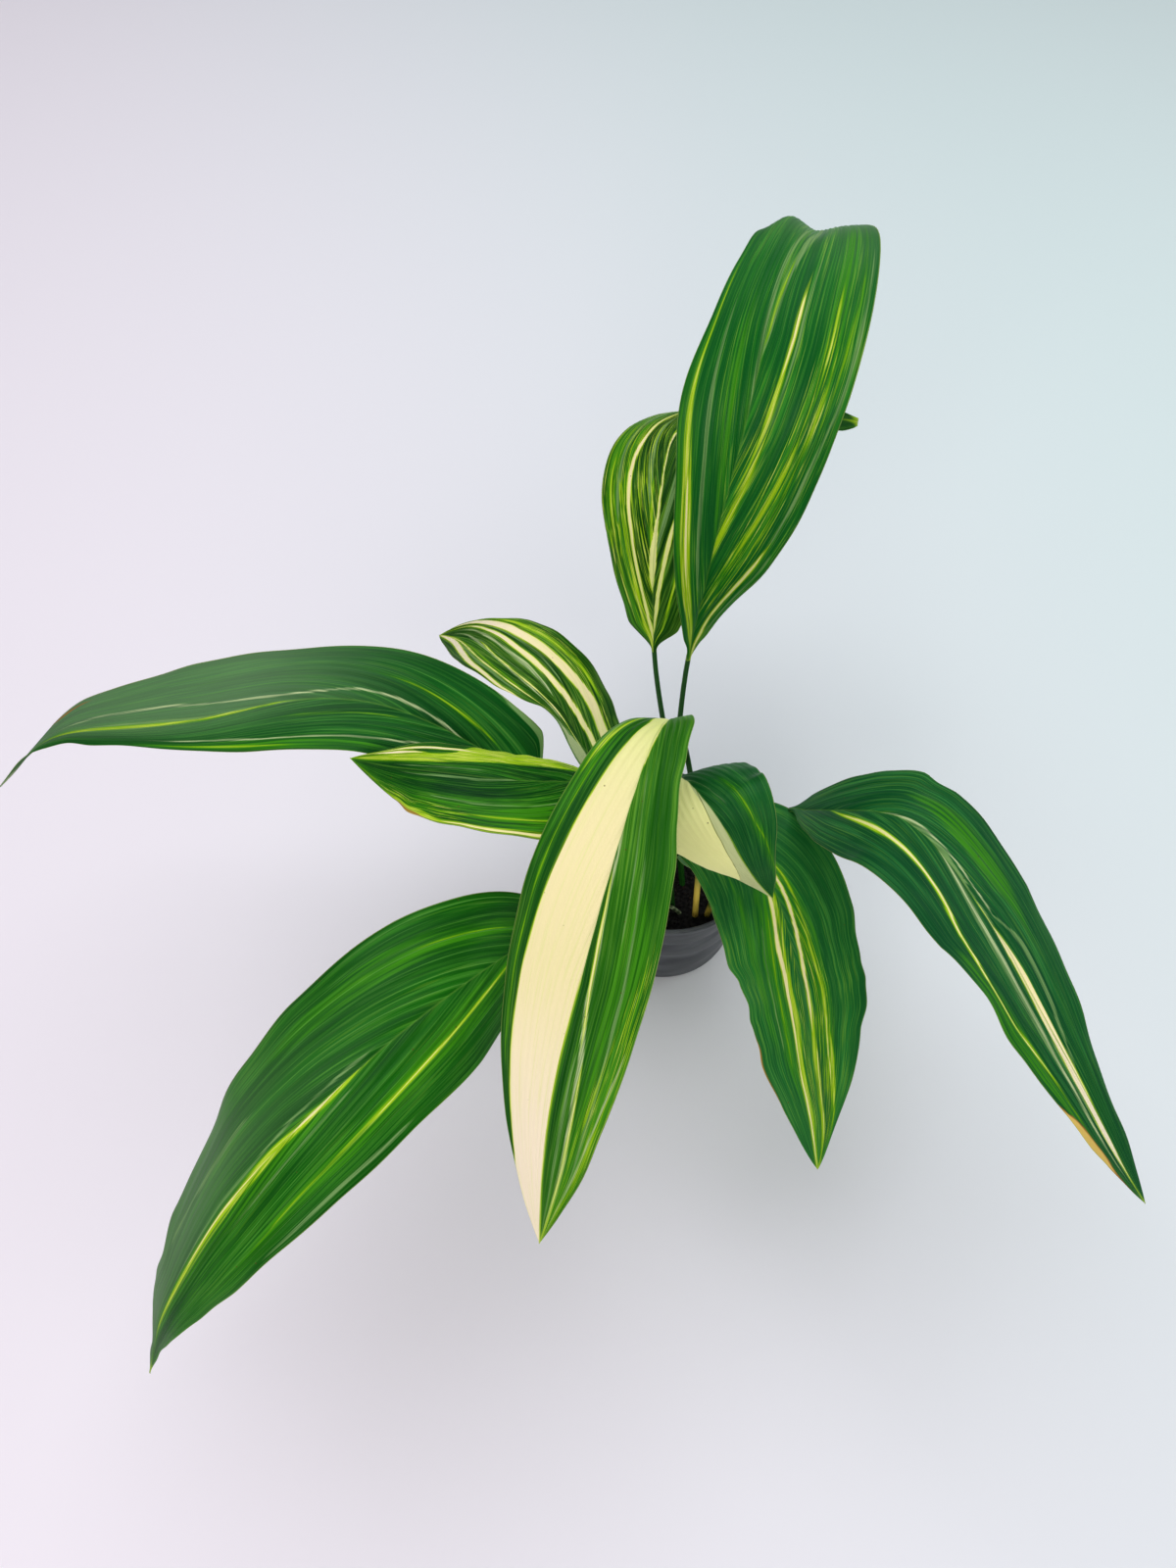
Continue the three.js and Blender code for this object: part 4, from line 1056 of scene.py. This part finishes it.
def soilHeight(plan, x, y):
    height = plan["top"] + plan["moundHeight"] * math.sin(x / plan["moundLength"]) * math.cos(
        y / plan["moundLength"])
    for kind in ("clump", "grain"):
        place = Vector((x, y, plan[kind + "Layer"])) / plan[kind + "Size"]
        height += plan[kind + "Height"] * noise.noise(place)
    return height - plan["sink"]


def crumblyMaterial(name, dark, light, patchSize):
    # Moist peat, composted bark or a dried stalk: matt and patchy, with a relief of about a millimetre.
    material, put = startMaterial(name)
    patch = put("noise", put("place"), 1 / (patchSize * mm), 4)
    colour = put("mix", put("ramp", patch, 0.35, 0.7), linearColour(dark), linearColour(light))
    finishMaterial(put, {"Base Color": colour, "Roughness": put("ramp", patch, 0.3, 0.7, 0.95, 0.6),
                         "Specular IOR Level": 0.25, "Normal": put("bump", patch, 0.8, 0.4 * mm)})
    return material


def makeSoil(plan, pot):
    slope = (pot["topRadius"] - pot["baseRadius"]) / pot["height"]
    gap = pot["wall"] + plan["gap"]
    levels = [pot["baseRounding"] + plan["gap"], *np.linspace(*plan["wallLevels"])]
    columns = []
    for angle in turns(plan["sides"]):
        outline = [(pot["baseRadius"] - pot["baseRounding"] - gap, gap)]
        outline += [(pot["baseRadius"] + slope * z - gap - foldInset(pot, z, angle), z) for z in levels]
        rim = outline[-1][0]
        for ring in range(plan["rings"], 0, -1):
            radius = rim * ring / plan["rings"]
            x, y, _ = polar(radius, angle, 0)
            outline.append((radius, soilHeight(plan, x, y)))
        columns.append([polar(radius, angle, z) for radius, z in outline])
    finish = crumblyMaterial("moistCompost", plan["dark"], plan["brown"], plan["patchSize"])
    soil = turnedMesh("pottingCompost", columns, (0, 0, gap), (0, 0, soilHeight(plan, 0, 0)), [finish])
    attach(soil, "root")
    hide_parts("soil")
    return soil


def scatterTree(name, form):
    # Small irregular chips over the upward faces of a mesh.
    tree = bpy.data.node_groups.new(name, "GeometryNodeTree")
    put = partial(addNode, tree)
    for socket, kind in (("Geometry", "Geometry"), ("Density", "Float"), ("Smallest", "Float"),
                         ("Largest", "Float"), ("Stretch", "Vector"), ("Seed", "Int"),
                         ("Finish", "Material")):
        tree.interface.new_socket(socket, in_out="INPUT", socket_type="NodeSocket" + kind)
    tree.interface.new_socket("Geometry", in_out="OUTPUT", socket_type="NodeSocketGeometry")
    given = put("NodeGroupInput", output=None).outputs
    facing = put("axes", put("GeometryNodeInputNormal")).outputs[2]
    height = put("axes", put("GeometryNodeInputPosition")).outputs[2]
    upward = put("FunctionNodeBooleanMath", put("greater_than", facing, form["leastUpward"]),
                 put("greater_than", height, form["leastHeight"] * mm), settings={"operation": "AND"})
    points = put("GeometryNodeDistributePointsOnFaces", {
        "Mesh": given["Geometry"], "Selection": upward, "Density": given["Density"], "Seed": given["Seed"]})
    chip = put("GeometryNodeMeshIcoSphere", {"Radius": 1.0, "Subdivisions": 1})
    tilt = form["tilt"]
    turn = put("FunctionNodeRandomValue", {
        "Min": (-tilt, -tilt, 0.0), "Max": (tilt, tilt, 2 * math.pi), "Seed": given["Seed"]},
        settings={"data_type": "FLOAT_VECTOR"})
    size = put("FunctionNodeRandomValue", {
        2: given["Smallest"], 3: given["Largest"], "Seed": given["Seed"]},
        settings={"data_type": "FLOAT"}, output=1)
    scale = put("ShaderNodeVectorMath", {0: given["Stretch"], "Scale": size},
                settings={"operation": "SCALE"})
    placed = put("GeometryNodeInstanceOnPoints", {
        "Points": points, "Instance": chip, "Rotation": turn, "Scale": scale})
    real = put("GeometryNodeRealizeInstances", placed)
    rough = put("ShaderNodeTexNoise", {
        "Vector": put("GeometryNodeInputPosition"), "Scale": 1 / (form["jagSize"] * mm), "Detail": 1.0},
        output=1)
    centred = put("ShaderNodeVectorMath", rough, (0.5, 0.5, 0.5), settings={"operation": "SUBTRACT"})
    reach = put("multiply", given["Smallest"], form["jagged"])
    shift = put("ShaderNodeVectorMath", {0: centred, "Scale": reach}, settings={"operation": "SCALE"})
    jagged = put("GeometryNodeSetPosition", {"Geometry": real, "Offset": shift})
    finished = put("GeometryNodeSetMaterial", {"Geometry": jagged, "Material": given["Finish"]})
    put("NodeGroupOutput", finished, output=None)
    return tree


def scatterChips(soil, plan, tree):
    carrier = bpy.data.objects.new(plan["name"] + "Carrier", soil.data.copy())
    bpy.context.scene.collection.objects.link(carrier)
    modifier = carrier.modifiers.new("scatter", "NODES")
    modifier.node_group = tree
    finish = crumblyMaterial(plan["name"] + "Finish", *plan["colours"], chipForm["patchSize"])
    values = {"Density": float(plan["perSquareMetre"]), "Smallest": plan["smallest"] * mm / 2,
              "Largest": plan["largest"] * mm / 2, "Stretch": plan["stretch"], "Seed": plan["seed"],
              "Finish": finish}
    for item in tree.interface.items_tree:
        if item.in_out == "INPUT" and item.name in values:
            modifier[item.identifier] = values[item.name]
    chips = plainCopy(carrier, plan["name"])
    bpy.data.objects.remove(carrier)
    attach(chips, "root")


soil = makeSoil(soilPlan, potPlan)
chipTree = scatterTree("scatteredChips", chipForm)
for plan in scatterPlans:
    scatterChips(soil, plan, chipTree)
print("soil made")

# Cut stalk of an older leaf

# It has dried to a dull grey-green, so it takes the crumbly finish in paler tints.
stubPlan = {
    "foot": (14, -50, 91), "end": (2, -49, 111), "radius": 1.9, "flatness": 0.85, "bow": 0.8,
    "ridges": 5, "ridgeHeight": 0.06, "narrowing": 0.12, "ragged": (-0.8, 0.6), "hollow": 1.2,
    "rings": 26, "sides": 20, "seed": 5, "colours": ("#4c5a41", "#8b9676"), "patchSize": 4,
}


def makeStub(plan):
    foot, end = Vector(plan["foot"]), Vector(plan["end"])
    axis = (end - foot).normalized()
    side = axis.orthogonal().normalized()
    other = axis.cross(side)
    draw = random.Random(plan["seed"])
    columns = []
    for angle in turns(plan["sides"]):
        torn = draw.uniform(*plan["ragged"])
        aside = side * math.cos(angle) + other * math.sin(angle) * plan["flatness"]
        ridge = 1 + plan["ridgeHeight"] * math.cos(plan["ridges"] * angle)
        column = []
        for share in np.linspace(0, 1, plan["rings"]):
            centre = foot.lerp(end, share) + side * (plan["bow"] * math.sin(math.pi * share))
            radius = plan["radius"] * (ridge - plan["narrowing"] * share)
            column.append(centre + aside * radius + axis * torn * share ** 8)
        columns.append(column)
    finish = crumblyMaterial("dryStalkSkin", *plan["colours"], plan["patchSize"])
    stub = turnedMesh("cutStalk", columns, foot, end - axis * plan["hollow"], [finish])
    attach(stub, "root")
    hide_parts("old_stalk_stub")


makeStub(stubPlan)
print("cut stalk made")
